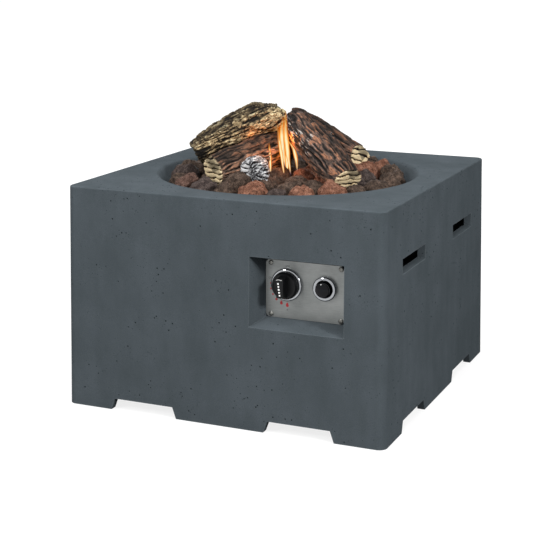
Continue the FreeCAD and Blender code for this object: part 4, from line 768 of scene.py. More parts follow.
@dataclass
class CeramicLog:
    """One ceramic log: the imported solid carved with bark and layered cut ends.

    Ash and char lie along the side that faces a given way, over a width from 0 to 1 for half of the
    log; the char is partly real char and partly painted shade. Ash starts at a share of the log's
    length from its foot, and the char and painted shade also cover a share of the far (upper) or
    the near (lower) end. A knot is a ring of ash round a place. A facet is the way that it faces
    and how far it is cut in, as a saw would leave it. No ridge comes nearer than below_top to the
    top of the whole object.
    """

    node: str
    finish: Finish
    carving: Carving
    seed: float
    plate_pitch: float = 15.0
    plate_stretch: float = 4.0
    furrow_pitch: float = 9.0
    groove_depth: float = 3.8
    swell: float = 2.6
    swell_pitch: float = 38.0
    bend: float = 6.0
    bend_pitch: float = 34.0
    proud: float = 2.2
    voxel: float = 1.4
    layer_pitch: float = 9.0
    layer_step: float = 3.0
    ash_side: tuple[float, float, float] | None = None
    ash_width: float = 0.2
    ash_from: float = 0.0
    knot: tuple[float, float, float] | None = None
    knot_radius: float = 4.6
    # The char mask covers real char and painted shade
    char_and_shade_side: tuple[float, float, float] | None = None
    char_and_shade_width: float = 0.35
    char_and_shade_far: float = 0.0
    char_and_shade_near: float = 0.0
    facets: tuple[tuple[tuple[float, float, float], float], ...] = ()
    below_top: float = 0.3

    def even_copy(self) -> bpy.types.Object:
        """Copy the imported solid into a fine, even mesh.

        Returns:
            The copy, which has its place and name but isn't carved yet.
        """
        piece = add_object(self.node + "_carved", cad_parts[self.node].data.copy())
        remesh = piece.modifiers.new("even", "REMESH")
        remesh.mode = "VOXEL"
        remesh.voxel_size = self.voxel * MM
        soften = piece.modifiers.new("soften", "SMOOTH")
        soften.factor = 0.5
        soften.iterations = 6
        graph = bpy.context.evaluated_depsgraph_get()
        mesh = bpy.data.meshes.new_from_object(piece.evaluated_get(graph))
        piece.modifiers.clear()
        piece.data = mesh
        return piece

    def log_axes(self, points: np.ndarray) -> np.ndarray:
        """Find the way that the log lies.

        Args:
            points: the log's points.

        Returns:
            Its own axes as rows: along it and upwards, sideways, and across.
        """
        axis = np.linalg.svd(points - points.mean(0), full_matrices=False)[2][0]
        axis = axis if axis[2] > 0 else -axis
        side = np.cross(axis, (0, 0, 1))
        side /= np.linalg.norm(side)
        return np.array([axis, side, np.cross(side, axis)])

    def furrows(self, own: np.ndarray) -> np.ndarray:
        """Long wavy furrows along the log, broken here and there.

        Args:
            own: the points in the log's own axes.

        Returns:
            0 at a furrow's bottom and 1 between the furrows.
        """
        girth = 2 * math.pi * float(np.median(np.linalg.norm(own[:, 1:], axis=1)))
        slow = own * (0.32, 1, 1)
        drift = noise_at(slow, 19.0, 2, self.seed + 13) * 1.1
        turns = np.arctan2(own[:, 1], own[:, 2]) / (2 * math.pi) * round(girth / self.furrow_pitch)
        between = np.abs(2 * ((turns + drift) % 1.0) - 1)
        broken = smooth_step(noise_at(slow, 10.0, 2, self.seed + 17), -0.3, 0.05)
        return 1 - smooth_step(between, 0.08, 1.0) * broken

    def cut_facets(self, points: np.ndarray, normals: np.ndarray) -> tuple[np.ndarray, ...]:
        """Cut the facets.

        Args:
            points: the log's points.
            normals: the way that the surface faces at each point.

        Returns:
            The points and the normals after it, and how far each point lies on a facet, from 0 to 1.
        """
        sawn = np.zeros(len(points))
        for facing, depth in self.facets:
            way = np.array(facing) / np.linalg.norm(facing)
            beyond = points @ way - (points @ way).max() + depth
            points = points - np.clip(beyond, 0, None)[:, None] * way
            share = smooth_step(beyond, -0.5, 0.8)
            sawn = np.maximum(sawn, share)
            normals = normals * (1 - share[:, None]) + way * share[:, None]
        return points, normals, sawn

    def relief(self, own: np.ndarray, ends: np.ndarray) -> tuple[np.ndarray, np.ndarray]:
        """Carve the log.

        Args:
            own: the points in the log's own axes.
            ends: 1 on a cut end and 0 on the bark.

        Returns:
            The relief's height from 0 to 1, and how far each point moves out, in millimetres.
        """
        bent = own.copy()
        bent[:, 1] += noise_at(own, self.bend_pitch, 2, self.seed) * self.bend
        bent[:, 2] += noise_at(own, self.bend_pitch, 2, self.seed + 5) * self.bend
        bent[:, 0] /= self.plate_stretch
        gaps = cell_distances(bent, self.plate_pitch, self.seed)
        plates = smooth_step(gaps[:, 1] - gaps[:, 0], 0.0, 0.20)
        height = np.minimum(0.45 + 0.55 * plates, self.furrows(own))
        if self.carving is Carving.CHARRED:
            blocks = own * (0.34, 1, 1)
            gaps = cell_distances(blocks, self.furrow_pitch * 0.7, self.seed + 3)
            height = height * (0.45 + 0.55 * smooth_step(gaps[:, 1] - gaps[:, 0], 0.0, 0.18))
        rings = own[:, 2] + noise_at(own, 15.0, 2, self.seed + 3) * 3.5
        within = (rings / self.layer_pitch) % 1.0
        layers = 1 - smooth_step(np.abs(within - 0.5) * 2, 0.60, 0.95)
        steps = np.array([noise.noise(Vector((math.floor(r / self.layer_pitch) * 3.7, self.seed, 0.5)))
                          for r in rings])
        height = height * (1 - ends) + layers * ends
        swell = noise_at(own, self.swell_pitch, 2, self.seed + 33) * self.swell
        swell = swell * (1 - ends) + steps * self.layer_step * ends
        return height, self.proud - self.groove_depth * (1 - height) + swell

    def side_mask(self, own: np.ndarray, axes: np.ndarray, facing: tuple[float, float, float] | None,
                  width: float) -> np.ndarray:
        """A ragged strip along the side that faces a given way: 1 on it and 0 elsewhere.

        Args:
            own: the points in the log's own axes.
            axes: those axes as rows.
            facing: the way that the side faces, or None for no strip.
            width: how wide the strip is, from 0 to 1 for a half of the log.

        Returns:
            The mask at each point.
        """
        if facing is None:
            return np.zeros(len(own))
        around = own[:, 1:] / np.maximum(np.linalg.norm(own[:, 1:], axis=1, keepdims=True), 1e-6)
        towards = axes[1:] @ np.array(facing)
        lean = around @ (towards / np.linalg.norm(towards))
        ragged = noise_at(own, 13.0, 3, self.seed + 41, 0.7) * 0.16
        return smooth_step(lean + ragged, 1 - width, 1 - width * 0.3)

    def paint_masks(self, own: np.ndarray, axes: np.ndarray, middle: np.ndarray, height: np.ndarray,
                    ends: np.ndarray) -> dict[str, np.ndarray]:
        """What the paint reads at each point.

        Args:
            own: the points in the log's own axes.
            axes: those axes as rows.
            middle: the log's middle, where its own axes start.
            height: the relief's height at each point.
            ends: 1 on a cut end and 0 on the bark.

        Returns:
            Grain coordinates, relief, cut end, ash, and char with painted shade, by their names in the paint.
        """
        along = (own[:, 0] - own[:, 0].min()) / np.ptp(own[:, 0])
        ragged = noise_at(own, 20.0, 3, self.seed + 51, 0.7) * 0.12
        ash = self.side_mask(own, axes, self.ash_side, self.ash_width)
        ash *= smooth_step(along + ragged, self.ash_from - 0.08, self.ash_from + 0.08)
        if self.knot:
            away = np.linalg.norm(own - (np.array(self.knot) - middle) @ axes.T, axis=1)
            ash = np.maximum(ash, 1 - smooth_step(np.abs(away - self.knot_radius), 0.8, 2.0))
        # Char, partly real and partly painted shade, along a side and at the ends
        char = self.side_mask(own, axes, self.char_and_shade_side, self.char_and_shade_width) * 0.85
        if self.char_and_shade_far:
            char = np.maximum(char, smooth_step(along + ragged, 1 - self.char_and_shade_far, 1 - self.char_and_shade_far * 0.4))
        if self.char_and_shade_near:
            char = np.maximum(char, 1 - smooth_step(along + ragged, self.char_and_shade_near * 0.4, self.char_and_shade_near))
        return {"grain": own * MM, "relief": height, "cut_end": ends, "ash": ash * (1 - ends), "char": char}

    def build(self) -> None:
        """Carve the log, paint it and let it stand for its node."""
        piece = self.even_copy()
        mesh = piece.data
        points = read_vectors(mesh, "co") / MM
        axes = self.log_axes(points)
        points, normals, sawn = self.cut_facets(points, read_vectors(mesh, "normal"))
        middle = points.mean(0)
        own = (points - middle) @ axes.T
        half = np.ptp(own[:, 0]) / 2
        outermost = smooth_step(np.abs(own[:, 0] - (own[:, 0].max() - half)), half * 0.80, half * 0.86)
        ends = np.maximum(smooth_step(np.abs(normals @ axes[0]), 0.62, 0.80) * outermost, sawn)
        height, rise = self.relief(own, ends)
        moved = points + normals * rise[:, None]
        moved[:, 2] = np.minimum(moved[:, 2], CAD_BOX[1][2] / MM - self.below_top)
        mesh.vertices.foreach_set("co", (moved * MM).astype(np.float32).ravel())
        mesh.update()
        add_masks(mesh, self.paint_masks(own, axes, middle, height, ends))
        dress(piece, self.finish, None)
        stand_in(piece, self.node)
        log.info("log %s: %d points", piece.name, len(points))


def loose_parts(mesh: bpy.types.Mesh) -> list[np.ndarray]:
    """Tell the separate solids in a mesh apart.

    Args:
        mesh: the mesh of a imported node.

    Returns:
        The corners of each solid, in millimetres.
    """
    made = bmesh.new()
    made.from_mesh(mesh)
    bmesh.ops.remove_doubles(made, verts=made.verts, dist=1e-6)
    made.verts.index_update()
    seen: set[int] = set()
    parts = []
    for vertex in made.verts:
        if vertex.index in seen:
            continue
        seen.add(vertex.index)
        waiting, corners = [vertex], []
        while waiting:
            current = waiting.pop()
            corners.append(current.co[:])
            for edge in current.link_edges:
                other = edge.other_vert(current)
                if other.index not in seen:
                    seen.add(other.index)
                    waiting.append(other)
        parts.append(np.array(corners) / MM)
    made.free()
    return parts


@dataclass
class LavaRocks:
    """The rocks of one node: each packed rock with its corners knocked off, lumps and open bubbles.

    Each rock's stone is drawn at random, and the rock nearest to a red place is red.
    """

    node: str
    seed: int
    fineness: int = 4
    rounding: float = 18.0
    lump: float = 4.6
    lump_pitch: float = 16.0
    crumb: float = 1.7
    crumb_pitch: float = 4.6
    bubble_pitch: float = 6.5
    bubble_depth: float = 2.0
    red_places: tuple[tuple[float, float, float], ...] = ()
    red_tint: float = 0.7

    def ball(self) -> tuple[np.ndarray, list[list[int]]]:
        """An even unit ball.

        Returns:
            Its points, and its faces as point numbers.
        """
        made = bmesh.new()
        bmesh.ops.create_icosphere(made, subdivisions=self.fineness, radius=1.0)
        points = np.array([vertex.co[:] for vertex in made.verts])
        faces = [[vertex.index for vertex in face.verts] for face in made.faces]
        made.free()
        return points, faces

    def sides(self, corners: np.ndarray) -> tuple[np.ndarray, np.ndarray, np.ndarray]:
        """Find the flat sides of a packed rock.

        Args:
            corners: the rock's corners.

        Returns:
            The rock's centre, the ways that its sides face, and how far each lies from the centre.
        """
        made = bmesh.new()
        for corner in corners:
            made.verts.new(corner)
        bmesh.ops.convex_hull(made, input=made.verts)
        made.normal_update()
        centre = corners.mean(0)
        flats = [(face.normal[:], face.verts[0].co[:]) for face in made.faces if face.calc_area() > 1e-3]
        made.free()
        normals = np.array([normal for normal, _ in flats])
        distances = np.einsum("ij,ij->i", normals, np.array([point for _, point in flats]) - centre)
        outward = np.where(distances < 0, -1.0, 1.0)
        return centre, normals * outward[:, None], np.maximum(distances * outward, 0.5)

    def rock(self, directions: np.ndarray, corners: np.ndarray,
             number: int) -> tuple[np.ndarray, np.ndarray]:
        """Break up one rock.

        Args:
            directions: the points of a unit ball.
            corners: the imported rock's corners.
            number: the rock's number, which picks its pattern.

        Returns:
            Its points, and how far each lies in a bubble, from 0 to 1.
        """
        centre, normals, distances = self.sides(corners)
        towards = np.maximum(directions @ normals.T, 1e-6) / distances
        reach = (towards ** self.rounding).sum(1) ** (-1 / self.rounding)
        points = centre + directions * reach[:, None]
        seed = self.seed * 10 + number
        lumps = noise_at(points, self.lump_pitch, 4, seed, 0.7)
        crumbs = noise_at(points, self.crumb_pitch, 2, seed + 0.5, 0.6)
        bubbles = 1 - smooth_step(cell_distances(points, self.bubble_pitch, seed)[:, 0], 0.14, 0.42)
        inward = self.lump * (0.2 - 0.8 * lumps) + self.crumb * (0.2 - crumbs) + self.bubble_depth * bubbles
        return points - directions * inward[:, None], bubbles

    def build(self) -> None:
        """Put every rock of the node in one mesh that stands for it."""
        directions, faces = self.ball()
        parts = loose_parts(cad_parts[self.node].data)
        rocks = [self.rock(directions, corners, number) for number, corners in enumerate(parts)]
        all_faces = [[start * len(directions) + index for index in face]
                     for start in range(len(rocks)) for face in faces]
        piece = new_piece(self.node + "_broken", np.concatenate([points for points, _ in rocks]), all_faces)
        tints = [noise.random() for _ in rocks]
        middles = np.array([corners.mean(0) for corners in parts])
        for place in self.red_places:
            tints[int(np.linalg.norm(middles - place, axis=1).argmin())] = self.red_tint
        add_masks(piece.data, {"pit": np.concatenate([bubbles for _, bubbles in rocks]),
                               "tint": np.repeat(tints, len(directions))})
        dress(piece, Finish.ROCK, None)
        stand_in(piece, self.node)
        log.info("rocks %s: %d", piece.name, len(rocks))


@dataclass
class FlameTongue:
    """One tongue of flame: a flat, tapering sheet of burning gas along a bent path."""

    name: str
    path: Sequence[tuple[float, float, float]]
    width: float
    seed: float
    widest: float = 0.45
    facing: float = 23.0
    thickness: float = 0.35
    twist: float = 22.0
    root_width: float = 0.12
    ripple: float = 0.22
    ripples: float = 7.0
    rings: int = 48
    sides: int = 20

    def centre(self, share: float) -> Vector:
        """The middle of the tongue, on a smooth line through its path.

        Args:
            share: how far along it, from 0 at the root to 1 at the tip.

        Returns:
            The place.
        """
        along = share * (len(self.path) - 1)
        index = min(int(along), len(self.path) - 2)
        points = [Vector(self.path[max(0, min(len(self.path) - 1, index + step))]) for step in (-1, 0, 1, 2)]
        t = along - index
        bend = (points[0] * (-t ** 3 + 2 * t ** 2 - t) + points[1] * (3 * t ** 3 - 5 * t ** 2 + 2)
                + points[2] * (-3 * t ** 3 + 4 * t ** 2 + t) + points[3] * (t ** 3 - t ** 2))
        return bend / 2

    def half_width(self, share: float) -> float:
        """Half of the tongue's width, which swells to its widest place and tapers to the tip.

        Args:
            share: how far along it, from 0 at the root to 1 at the tip.

        Returns:
            The half width in millimetres.
        """
        if share < self.widest:
            swell = math.sin(math.pi / 2 * share / self.widest) ** 1.3
            shape = self.root_width + (1 - self.root_width) * swell
        else:
            shape = math.cos(math.pi / 2 * (share - self.widest) / (1 - self.widest)) ** 0.9
        ripple = 1 + self.ripple * noise.noise(Vector((share * self.ripples, self.seed, 0)))
        return max(self.width / 2 * shape * ripple, 0.2)

    def build(self) -> None:
        """Loft the tongue from its root to its tip."""
        points, rise, core = [], [], []
        for step in range(self.rings + 1):
            share = step / self.rings
            turn = math.radians(self.facing + self.twist * math.sin(self.seed + share * 2.4))
            across = Vector((math.cos(turn), math.sin(turn), 0))
            depth = Vector((-math.sin(turn), math.cos(turn), 0))
            half = self.half_width(share)
            for side in range(self.sides):
                angle = 2 * math.pi * side / self.sides
                points.append(self.centre(share) + across * half * math.cos(angle)
                              + depth * half * self.thickness * math.sin(angle))
                rise.append(share)
                core.append(abs(math.sin(angle)))
        piece = new_piece(self.name, np.array(points), tube_faces(self.rings + 1, self.sides))
        add_masks(piece.data, {"rise": np.array(rise), "core": np.array(core)})
        dress(piece, Finish.FLAME, None)
        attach(piece, "root")
        log.info("flame %s", self.name)


@dataclass
class FireBed:
    """Lava rock, logs and flames in the bowl."""

    def rocks(self) -> tuple[LavaRocks, ...]:
        """The visible rings of rock, and the plainer layer beneath them."""
        return (LavaRocks("lava_rocks_outer", seed=3, red_places=((20.5, -211.5, 408.5),)),
                LavaRocks("lava_rocks_middle", seed=5, red_places=((41.2, -29.0, 411.0),)),
                LavaRocks("lava_rocks_lower", seed=7, fineness=3))

    def logs(self) -> tuple[CeramicLog, ...]:
        """The five logs, from the lowest to the highest."""
        return (
            # Each log's char is partly real char and partly painted shade; on the rear log it is mostly
            # painted shade, where that log lies in shade behind the front log
            CeramicLog("log_bark", Finish.BARK, Carving.BARK, seed=2.0,
                       char_and_shade_far=0.28, char_and_shade_side=(0.1, -0.3, 1.0), char_and_shade_width=0.42),
            CeramicLog("log_front", Finish.BARK_DARK, Carving.BARK, seed=12.0, furrow_pitch=8.0,
                       ash_side=(-0.75, -0.3, 0.5), ash_width=0.10, ash_from=0.42,
                       char_and_shade_far=0.12, char_and_shade_side=(0.5, 0.2, 1.0), char_and_shade_width=0.3),
            CeramicLog("log_rear", Finish.BARK_DARK, Carving.BARK, seed=22.0, furrow_pitch=8.0,
                       char_and_shade_far=0.95, char_and_shade_side=(0.0, 0.1, 1.0), knot=(67.3, 61.7, 471.8),
                       facets=(((0.95, -0.30, 0.05), 20.0),)),
            CeramicLog("log_ash_stub", Finish.ASH, Carving.CHARRED, seed=32.0, plate_pitch=8.0,
                       furrow_pitch=5.5),
            CeramicLog("log_weathered", Finish.WEATHERED, Carving.CHARRED, seed=42.0, plate_pitch=12.0,
                       furrow_pitch=7.0, char_and_shade_near=0.12, char_and_shade_side=(0.1, -0.2, 1.0), char_and_shade_width=0.45),
        )

    def flames(self) -> tuple[FlameTongue, ...]:
        """The tongues that come up between the logs."""
        return (
            FlameTongue("flame_main", [(21, -35, 405), (16, -37, 443), (12, -39, 485), (12, -38, 527)],
                        width=12, seed=1.0, widest=0.6),
            FlameTongue("flame_left", [(10, -39, 397), (6, -41, 433), (1, -43, 471), (-3, -44, 504)],
                        width=7, seed=2.4, widest=0.55),
            FlameTongue("flame_right", [(32, -30, 412), (30, -31, 436), (24, -34, 458), (10, -41, 478)],
                        width=8, seed=3.6, widest=0.4),
            FlameTongue("flame_veil", [(10, -38, 420), (7, -39, 452), (5, -41, 484), (8, -40, 516)],
                        width=14, seed=5.5, widest=0.65),
            FlameTongue("flame_low", [(-13, -50, 404), (-14, -51, 436), (-16, -51, 468)],
                        width=6.5, seed=4.4),
            FlameTongue("flame_back", [(4, -12, 402), (6, -18, 440), (8, -24, 488)], width=10, seed=5.2),
        )

    def build(self) -> None:
        """Lay the bed and light it."""
        noise.seed_set(SEED)
        for piece in (*self.rocks(), *self.logs(), *self.flames()):
            piece.build()


@dataclass
class ControlPanel:
    """The steel plate's printing and the marks on the knob.

    Places are measured across and up from the knob's axis. A letter's size in the font is a little
    more than its height.
    """

    film: float = 0.08
    mark_radii: tuple[float, ...] = (1.5, 1.5, 1.7, 2.2, 2.9, 3.2)
    first_mark: float = 181.0
    mark_step: float = 17.8
    mark_reach: float = 31.0
    mark_spread: float = 1.3
    drop_from: int = 4
    letter_height: float = 3.4
    letter_size: float = 1.35
    words: tuple[tuple[str, str, float, float], ...] = (
        ("word_off", "OFF", 0.6, 32.3), ("word_on", "ON", -31.3, 8.7), ("number_full", "6", 0.0, -45.0))
    dot_radius: float = 1.6
    dot_pitch: float = 5.1
    dot_lean: float = 0.7
    dot_count: int = 5
    dot_row: tuple[float, float] = (-1.0, -1.4)
    pointer_width: float = 10.0
    pointer_line: float = 0.7
    pointer_rise: float = 1.2
    pointer_place: tuple[float, float] = (-0.6, 14.4)
    spot_sides: int = 32

    def centre(self) -> Vector:
        """The knob's axis at the plate's face."""
        low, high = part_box("dial_ring")
        return Vector(((low[0] + high[0]) / 2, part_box("control_plate")[0][1], (low[2] + high[2]) / 2)) / MM

    def film_piece(self, name: str, outline: Sequence[tuple[float, float]], face: float, finish: Finish,
                   body: str) -> None:
        """Lay down a thin film of ink that faces the front.

        Args:
            name: the piece's name.
            outline: the film's edge as X and Z, anticlockwise from the front.
            face: the forward place that it is printed on.
            finish: its ink.
            body: the body that it rides on.
        """
        count = len(outline)
        points = [(x, face, z) for x, z in outline] + [(x, face - self.film, z) for x, z in outline]
        piece = new_piece(name, np.array(points), tube_faces(2, count))
        dress(piece, finish, 30.0)
        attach(piece, body)
        log.info("printed %s", name)

    def spot(self, x: float, z: float, radius: float, drop: bool = False) -> list[tuple[float, float]]:
        """Outline a spot of ink.

        Args:
            x: where its middle is across.
            z: where its middle is up.
            radius: its radius.
            drop: whether it is drawn out to a point at its top.

        Returns:
            Its edge as X and Z, anticlockwise from the front.
        """
        edge = []
        for step in range(self.spot_sides):
            angle = 2 * math.pi * step / self.spot_sides
            reach = radius * (0.85 + 0.8 * max(math.sin(angle), 0) ** 7) if drop else radius
            edge.append((x + reach * math.cos(angle), z + reach * math.sin(angle)))
        return edge

    def letters(self, name: str, text: str, x: float, z: float) -> None:
        """Print a word or number on the plate.

        Args:
            name: the piece's name.
            text: what it says.
            x: where its middle is across.
            z: where its middle is up.
        """
        curve = bpy.data.curves.new(name, "FONT")
        curve.body = text
        curve.size = self.letter_height * self.letter_size * MM
        curve.extrude = self.film / 2 * MM
        curve.align_x = "CENTER"
        curve.align_y = "CENTER"
        piece = add_object(name, curve)
        piece.location = Vector((x, self.centre().y - self.film / 2, z)) * MM
        piece.rotation_euler = (math.pi / 2, 0, 0)
        dress(piece, Finish.BLACK_INK)
        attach(piece, "root")
        log.info("printed %s", name)

    def plate_marks(self) -> None:
        """Heat marks that grow round the knob, with ON, OFF and a number."""
        centre = self.centre()
        for step, radius in enumerate(self.mark_radii):
            angle = math.radians(self.first_mark + self.mark_step * step)
            reach = self.mark_reach + self.mark_spread * step
            edge = self.spot(centre.x + reach * math.cos(angle), centre.z + reach * math.sin(angle), radius,
                             step >= self.drop_from)
            self.film_piece("heat_mark_%d" % (step + 1), edge, centre.y, Finish.RED_INK, "root")
        for name, text, across, up in self.words:
            self.letters(name, text, centre.x + across, centre.z + up)

    def knob_marks(self) -> None:
        """A row of dots down the grip and a pointer line above them."""
        centre = self.centre()
        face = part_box("control_knob")[0][1] / MM
        for step in range(self.dot_count):
            off_middle = step - (self.dot_count - 1) / 2
            edge = self.spot(centre.x + self.dot_row[0] + self.dot_lean * off_middle,
                             centre.z + self.dot_row[1] - self.dot_pitch * off_middle, self.dot_radius)
            self.film_piece("knob_dot_%d" % (step + 1), edge, face, Finish.WHITE_INK, "knob")
        shares = [step / 10 for step in range(11)]
        arc = [(centre.x + self.pointer_place[0] + self.pointer_width * (share - 0.5),
                centre.z + self.pointer_place[1] + self.pointer_rise * math.sin(math.pi * share))
               for share in shares]
        edge = arc + [(x, z + self.pointer_line) for x, z in reversed(arc)]
        self.film_piece("knob_pointer", edge[::-1], face, Finish.WHITE_INK, "knob")

    def build(self) -> None:
        """Print the plate and the knob."""
        self.plate_marks()
        self.knob_marks()


@dataclass
class IgniterButton:
    """The push button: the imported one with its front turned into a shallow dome."""

    crown: float = 3.4
    lip: float = 0.5
    rings: int = 14
    sides: int = 64

    def stem(self) -> tuple[float, float]:
        """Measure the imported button's stem.

        Returns:
            Its radius, and the Y at which it leaves the head.
        """
        corners = read_vectors(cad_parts["igniter_button"].data, "co") / MM
        middle = (corners.min(0) + corners.max(0)) / 2
        reach = np.hypot(corners[:, 0] - middle[0], corners[:, 2] - middle[2])
        head_back = corners[reach > reach.max() - 0.1, 1].max()
        return float(reach[corners[:, 1] > corners[:, 1].max() - 0.01].max()), float(head_back)

    def profile(self, radius: float, front: float, back: float) -> list[tuple[float, float]]:
        """Draw the turned shape.

        Args:
            radius: the head's radius.
            front: the Y of the dome's top.
            back: the Y of the stem's end.

        Returns:
            Radius and Y, from the middle of the front to the middle of the back.
        """
        stem_radius, head_back = self.stem()
        ball = (radius ** 2 + self.crown ** 2) / (2 * self.crown)
        dome = [(radius * step / self.rings,
                 front + ball - math.sqrt(ball ** 2 - (radius * step / self.rings) ** 2))
                for step in range(self.rings + 1)]
        return dome[:-1] + [(radius - self.lip, front + self.crown - self.lip / 3),
                            (radius, front + self.crown + self.lip), (radius, head_back),
                            (stem_radius, head_back), (stem_radius, back), (0.0, back)]

    def build(self) -> None:
        """Turn the button and let it stand for its node."""
        low, high = (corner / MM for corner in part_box("igniter_button"))
        middle = (low + high) / 2
        profile = self.profile((high.x - low.x) / 2, low.y, high.y)
        points = [(middle.x, profile[0][1], middle.z)]
        for radius, y in profile[1:-1]:
            for side in range(self.sides):
                angle = 2 * math.pi * side / self.sides
                points.append((middle.x + radius * math.cos(angle), y, middle.z + radius * math.sin(angle)))
        points.append((middle.x, profile[-1][1], middle.z))
        last = len(points) - 1
        faces = []
        for side in range(self.sides):
            after = (side + 1) % self.sides
            faces.append([0, 1 + side, 1 + after])
            faces.append([last, last - self.sides + after, last - self.sides + side])
            for ring in range(len(profile) - 3):
                start = 1 + ring * self.sides
                beyond = start + self.sides
                faces.append([start + side, beyond + side, beyond + after, start + after])
        piece = new_piece("igniter_button_domed", np.array(points), faces)
        dress(piece, Finish.BUTTON, 60.0)
        stand_in(piece, "igniter_button", "button")
        log.info("igniter button turned")


@dataclass
class ReturnSpring:
    """A compression spring, which in the real fire pit shortens as what it pushes on is pressed; the copy
    keeps its imported shape.
    """

    node: str
    joint: str
    travel: float

    def build(self) -> None:
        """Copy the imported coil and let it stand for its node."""
        piece = add_object(self.node + "_coil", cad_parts[self.node].data.copy())
        dress(piece, Finish.SPRING)
        stand_in(piece, self.node)
        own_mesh(piece)
        log.info("spring %s", piece.name)


NODE_FINISHES: dict[Finish, tuple[str, ...]] = {
    Finish.CONCRETE: ("outer_shell",),
    Finish.STAINLESS: ("control_plate",),
    Finish.SCREW: ("plate_screws", "pan_screws"),
    Finish.CHROME: ("dial_ring", "igniter_bezel"),
    Finish.KNOB: ("control_knob",),
    Finish.BARREL: ("igniter_barrel",),
    Finish.CASTING: ("valve_body",),
    Finish.ZINC: ("valve_nut", "valve_spindle", "spindle_washer", "injector_bracket", "igniter_nut"),
    Finish.BRASS: ("plate_inserts", "pan_inserts", "magnet_unit", "thermocouple_nut", "gas_inlet_fitting",
                   "valve_pipe_nut", "elbow_pipe_nut", "injector_elbow", "injector_jet",
                   "igniter_terminals"),
    Finish.TUBE: ("gas_pipe",),
    Finish.BURNER: ("burner_pan", "burner_ring", "burner_brackets", "pilot_bracket", "pilot_guard",
                    "thermocouple"),
    Finish.CERAMIC: ("ignition_electrode",),
    Finish.COPPER: ("thermocouple_lead",),
    Finish.SILICONE: ("ignition_lead",),
    Finish.CELL: ("battery",),
}


def dress_nodes() -> None:
    """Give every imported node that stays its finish."""
    for finish, nodes in NODE_FINISHES.items():
        for node in nodes:
            dress(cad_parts[node], finish)
        log.info("%s: %s", finish.name.lower(), ", ".join(nodes))


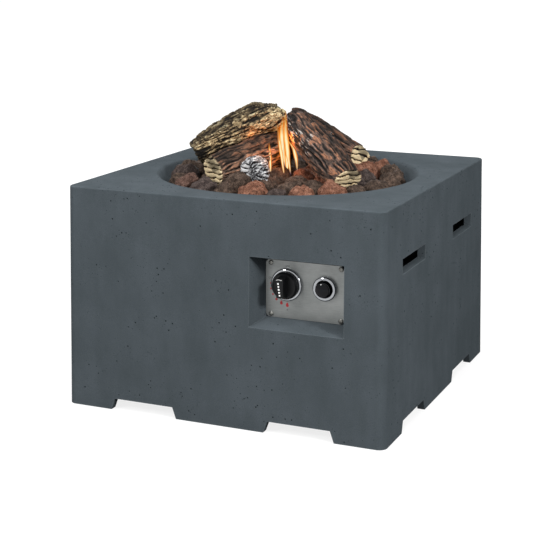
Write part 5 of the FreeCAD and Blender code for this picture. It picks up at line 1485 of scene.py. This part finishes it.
@dataclass
class Studio:
    """A white floor, soft light and the camera at the photograph's angle.

    The camera's angles are in degrees, and its focal length, frame and centre in the photograph's pixels.
    """

    azimuth: float = 23.067
    elevation: float = 13.153
    roll: float = 0.067
    focal_px: float = 1351.77
    frame_px: float = 540.0
    centre_px: tuple[float, float] = (290.0, 250.0)
    station: tuple[float, float, float] = (995.29, -2326.06, 842.87)
    sensor: float = 36.0
    floor_half: float = 20000.0
    floor_drop: float = 0.4
    sky_strength: float = 0.62
    aim: tuple[float, float, float] = (0.0, 0.0, 250.0)
    ember_colour: str = "#ff9a45"
    ember_radius: float = 12.0

    def camera(self) -> None:
        """Stand the camera where the photograph was taken from."""
        lens = bpy.data.cameras.new("photo_camera")
        lens.sensor_width = self.sensor
        lens.lens = self.focal_px / self.frame_px * self.sensor
        lens.shift_x = (self.frame_px / 2 - self.centre_px[0]) / self.frame_px
        lens.shift_y = (self.centre_px[1] - self.frame_px / 2) / self.frame_px
        lens.clip_end = 100.0
        camera = add_object("photo_camera", lens)
        across, up = math.radians(self.azimuth), math.radians(self.elevation)
        back = Vector((math.sin(across) * math.cos(up), -math.cos(across) * math.cos(up), math.sin(up)))
        right = Vector((0, 0, 1)).cross(back).normalized()
        turn = Matrix((right, back.cross(right), back)).transposed()
        turn = turn @ Matrix.Rotation(math.radians(self.roll), 3, "Z")
        camera.matrix_world = Matrix.Translation(Vector(self.station) * MM) @ turn.to_4x4()
        bpy.context.scene.camera = camera

    def looked_at(self, tree: bpy.types.NodeTree) -> bpy.types.NodeSocket:
        """Tell what is looked at from the light that falls on things.

        Args:
            tree: the node tree of the floor or the world.

        Returns:
            1 where the camera looks, also by way of metal and glass, and 0 elsewhere.
        """
        seen = add_node(tree, "LightPath", out="Is Camera Ray")
        for kind in ("Is Glossy Ray", "Is Transmission Ray"):
            seen = add_node(tree, "Math", seen, add_node(tree, "LightPath", out=kind), operation="MAXIMUM")
        return seen

    def floor(self) -> None:
        """White paper that keeps the object's shadow."""
        half, level = self.floor_half, -self.floor_drop
        corners = [(-half, -half, level), (half, -half, level), (half, half, level), (-half, half, level)]
        piece = new_piece("studio_floor", np.array(corners), [[0, 1, 2, 3]])
        s = Surface.start("studio_paper", Roughness=1.0, Specular_IOR_Level=0.0)
        s.shader.inputs["Base Color"].default_value = linear("#808080")
        s.shader.inputs["Emission Color"].default_value = linear("#ffffff")
        away = s.add("VectorMath", s.place, operation="LENGTH", out="Value")
        lift = s.add("MapRange", away, 0.8, 3.0, 0.82, 0.95)
        s.wire(Emission_Strength=s.add("Math", self.looked_at(s.tree), lift, operation="MULTIPLY"))
        piece.data.materials.append(s.material)

    def world(self) -> None:
        """A pale sky that is darker near the floor, and white where it is seen."""
        world = bpy.data.worlds.new("studio")
        bpy.context.scene.world = world
        world.use_nodes = True
        tree = world.node_tree
        tree.nodes.clear()
        upward = add_node(tree, "SeparateXYZ", add_node(tree, "TexCoord", out="Generated"), out="Z")
        sky = add_node(tree, "ValToRGB", upward,
                       stops=[(0.0, "#5d5d5d"), (0.18, "#929292"), (0.45, "#f4f3f2"), (1.0, "#dbdad9")])
        soft = add_node(tree, "Background", sky, self.sky_strength)
        white = add_node(tree, "Background", "#ffffff", 1.0)
        add_node(tree, "OutputWorld", add_node(tree, "MixShader", self.looked_at(tree), soft, white))

    def hang(self, light: bpy.types.Light, place: tuple[float, float, float],
             power: float) -> bpy.types.Object:
        """Hang a light.

        Args:
            light: the light, whose name the lamp takes.
            place: where it hangs.
            power: its power in watts.

        Returns:
            The lamp.
        """
        light.energy = power
        lamp = add_object(light.name, light)
        lamp.location = Vector(place) * MM
        return lamp

    def soft_box(self, name: str, place: tuple[float, float, float], side: float, power: float) -> None:
        """Hang a square soft box that faces the body's middle.

        Args:
            name: the lamp's name.
            place: where it hangs.
            side: the length of its side.
            power: its power in watts.
        """
        light = bpy.data.lights.new(name, "AREA")
        light.size = side * MM
        lamp = self.hang(light, place, power)
        lamp.rotation_euler = (Vector(self.aim) * MM - lamp.location).to_track_quat("-Z", "Y").to_euler()

    def ember(self, name: str, place: tuple[float, float, float], power: float) -> None:
        """Put a small warm lamp inside the fire, for the light that the flames throw on the logs.

        Args:
            name: the lamp's name.
            place: where it glows.
            power: its power in watts.
        """
        light = bpy.data.lights.new(name, "POINT")
        light.color = linear(self.ember_colour)[:3]
        light.shadow_soft_size = self.ember_radius * MM
        self.hang(light, place, power)

    def build(self) -> None:
        """Set the stage."""
        self.camera()
        self.floor()
        self.world()
        self.soft_box("key_left", (-1300, -2600, 1900), side=500, power=45)
        self.soft_box("fill_right", (2500, -1300, 1500), side=500, power=54)
        self.soft_box("top", (300, -1000, 2900), side=1800, power=55)
        self.soft_box("back", (-900, 2600, 900), side=700, power=40)
        self.ember("ember_high", (20, -46, 474), power=0.16)
        self.ember("ember_low", (4, -36, 435), power=0.04)
        self.ember("ember_left", (-48, -58, 478), power=0.018)
        bpy.context.scene.view_settings.view_transform = "Standard"


def main() -> None:
    """Set the stage, dress the frame, print the panel and lay the fire."""
    logging.basicConfig(level=logging.INFO, format="%(message)s")
    Studio().build()
    dress_nodes()
    ControlPanel().build()
    IgniterButton().build()
    ReturnSpring("spindle_spring", "knob_press", travel=4.0).build()
    ReturnSpring("igniter_spring", "igniter_press", travel=3.0).build()
    FireBed().build()
    bpy.context.view_layer.update()


if __name__ == "__main__":
    main()
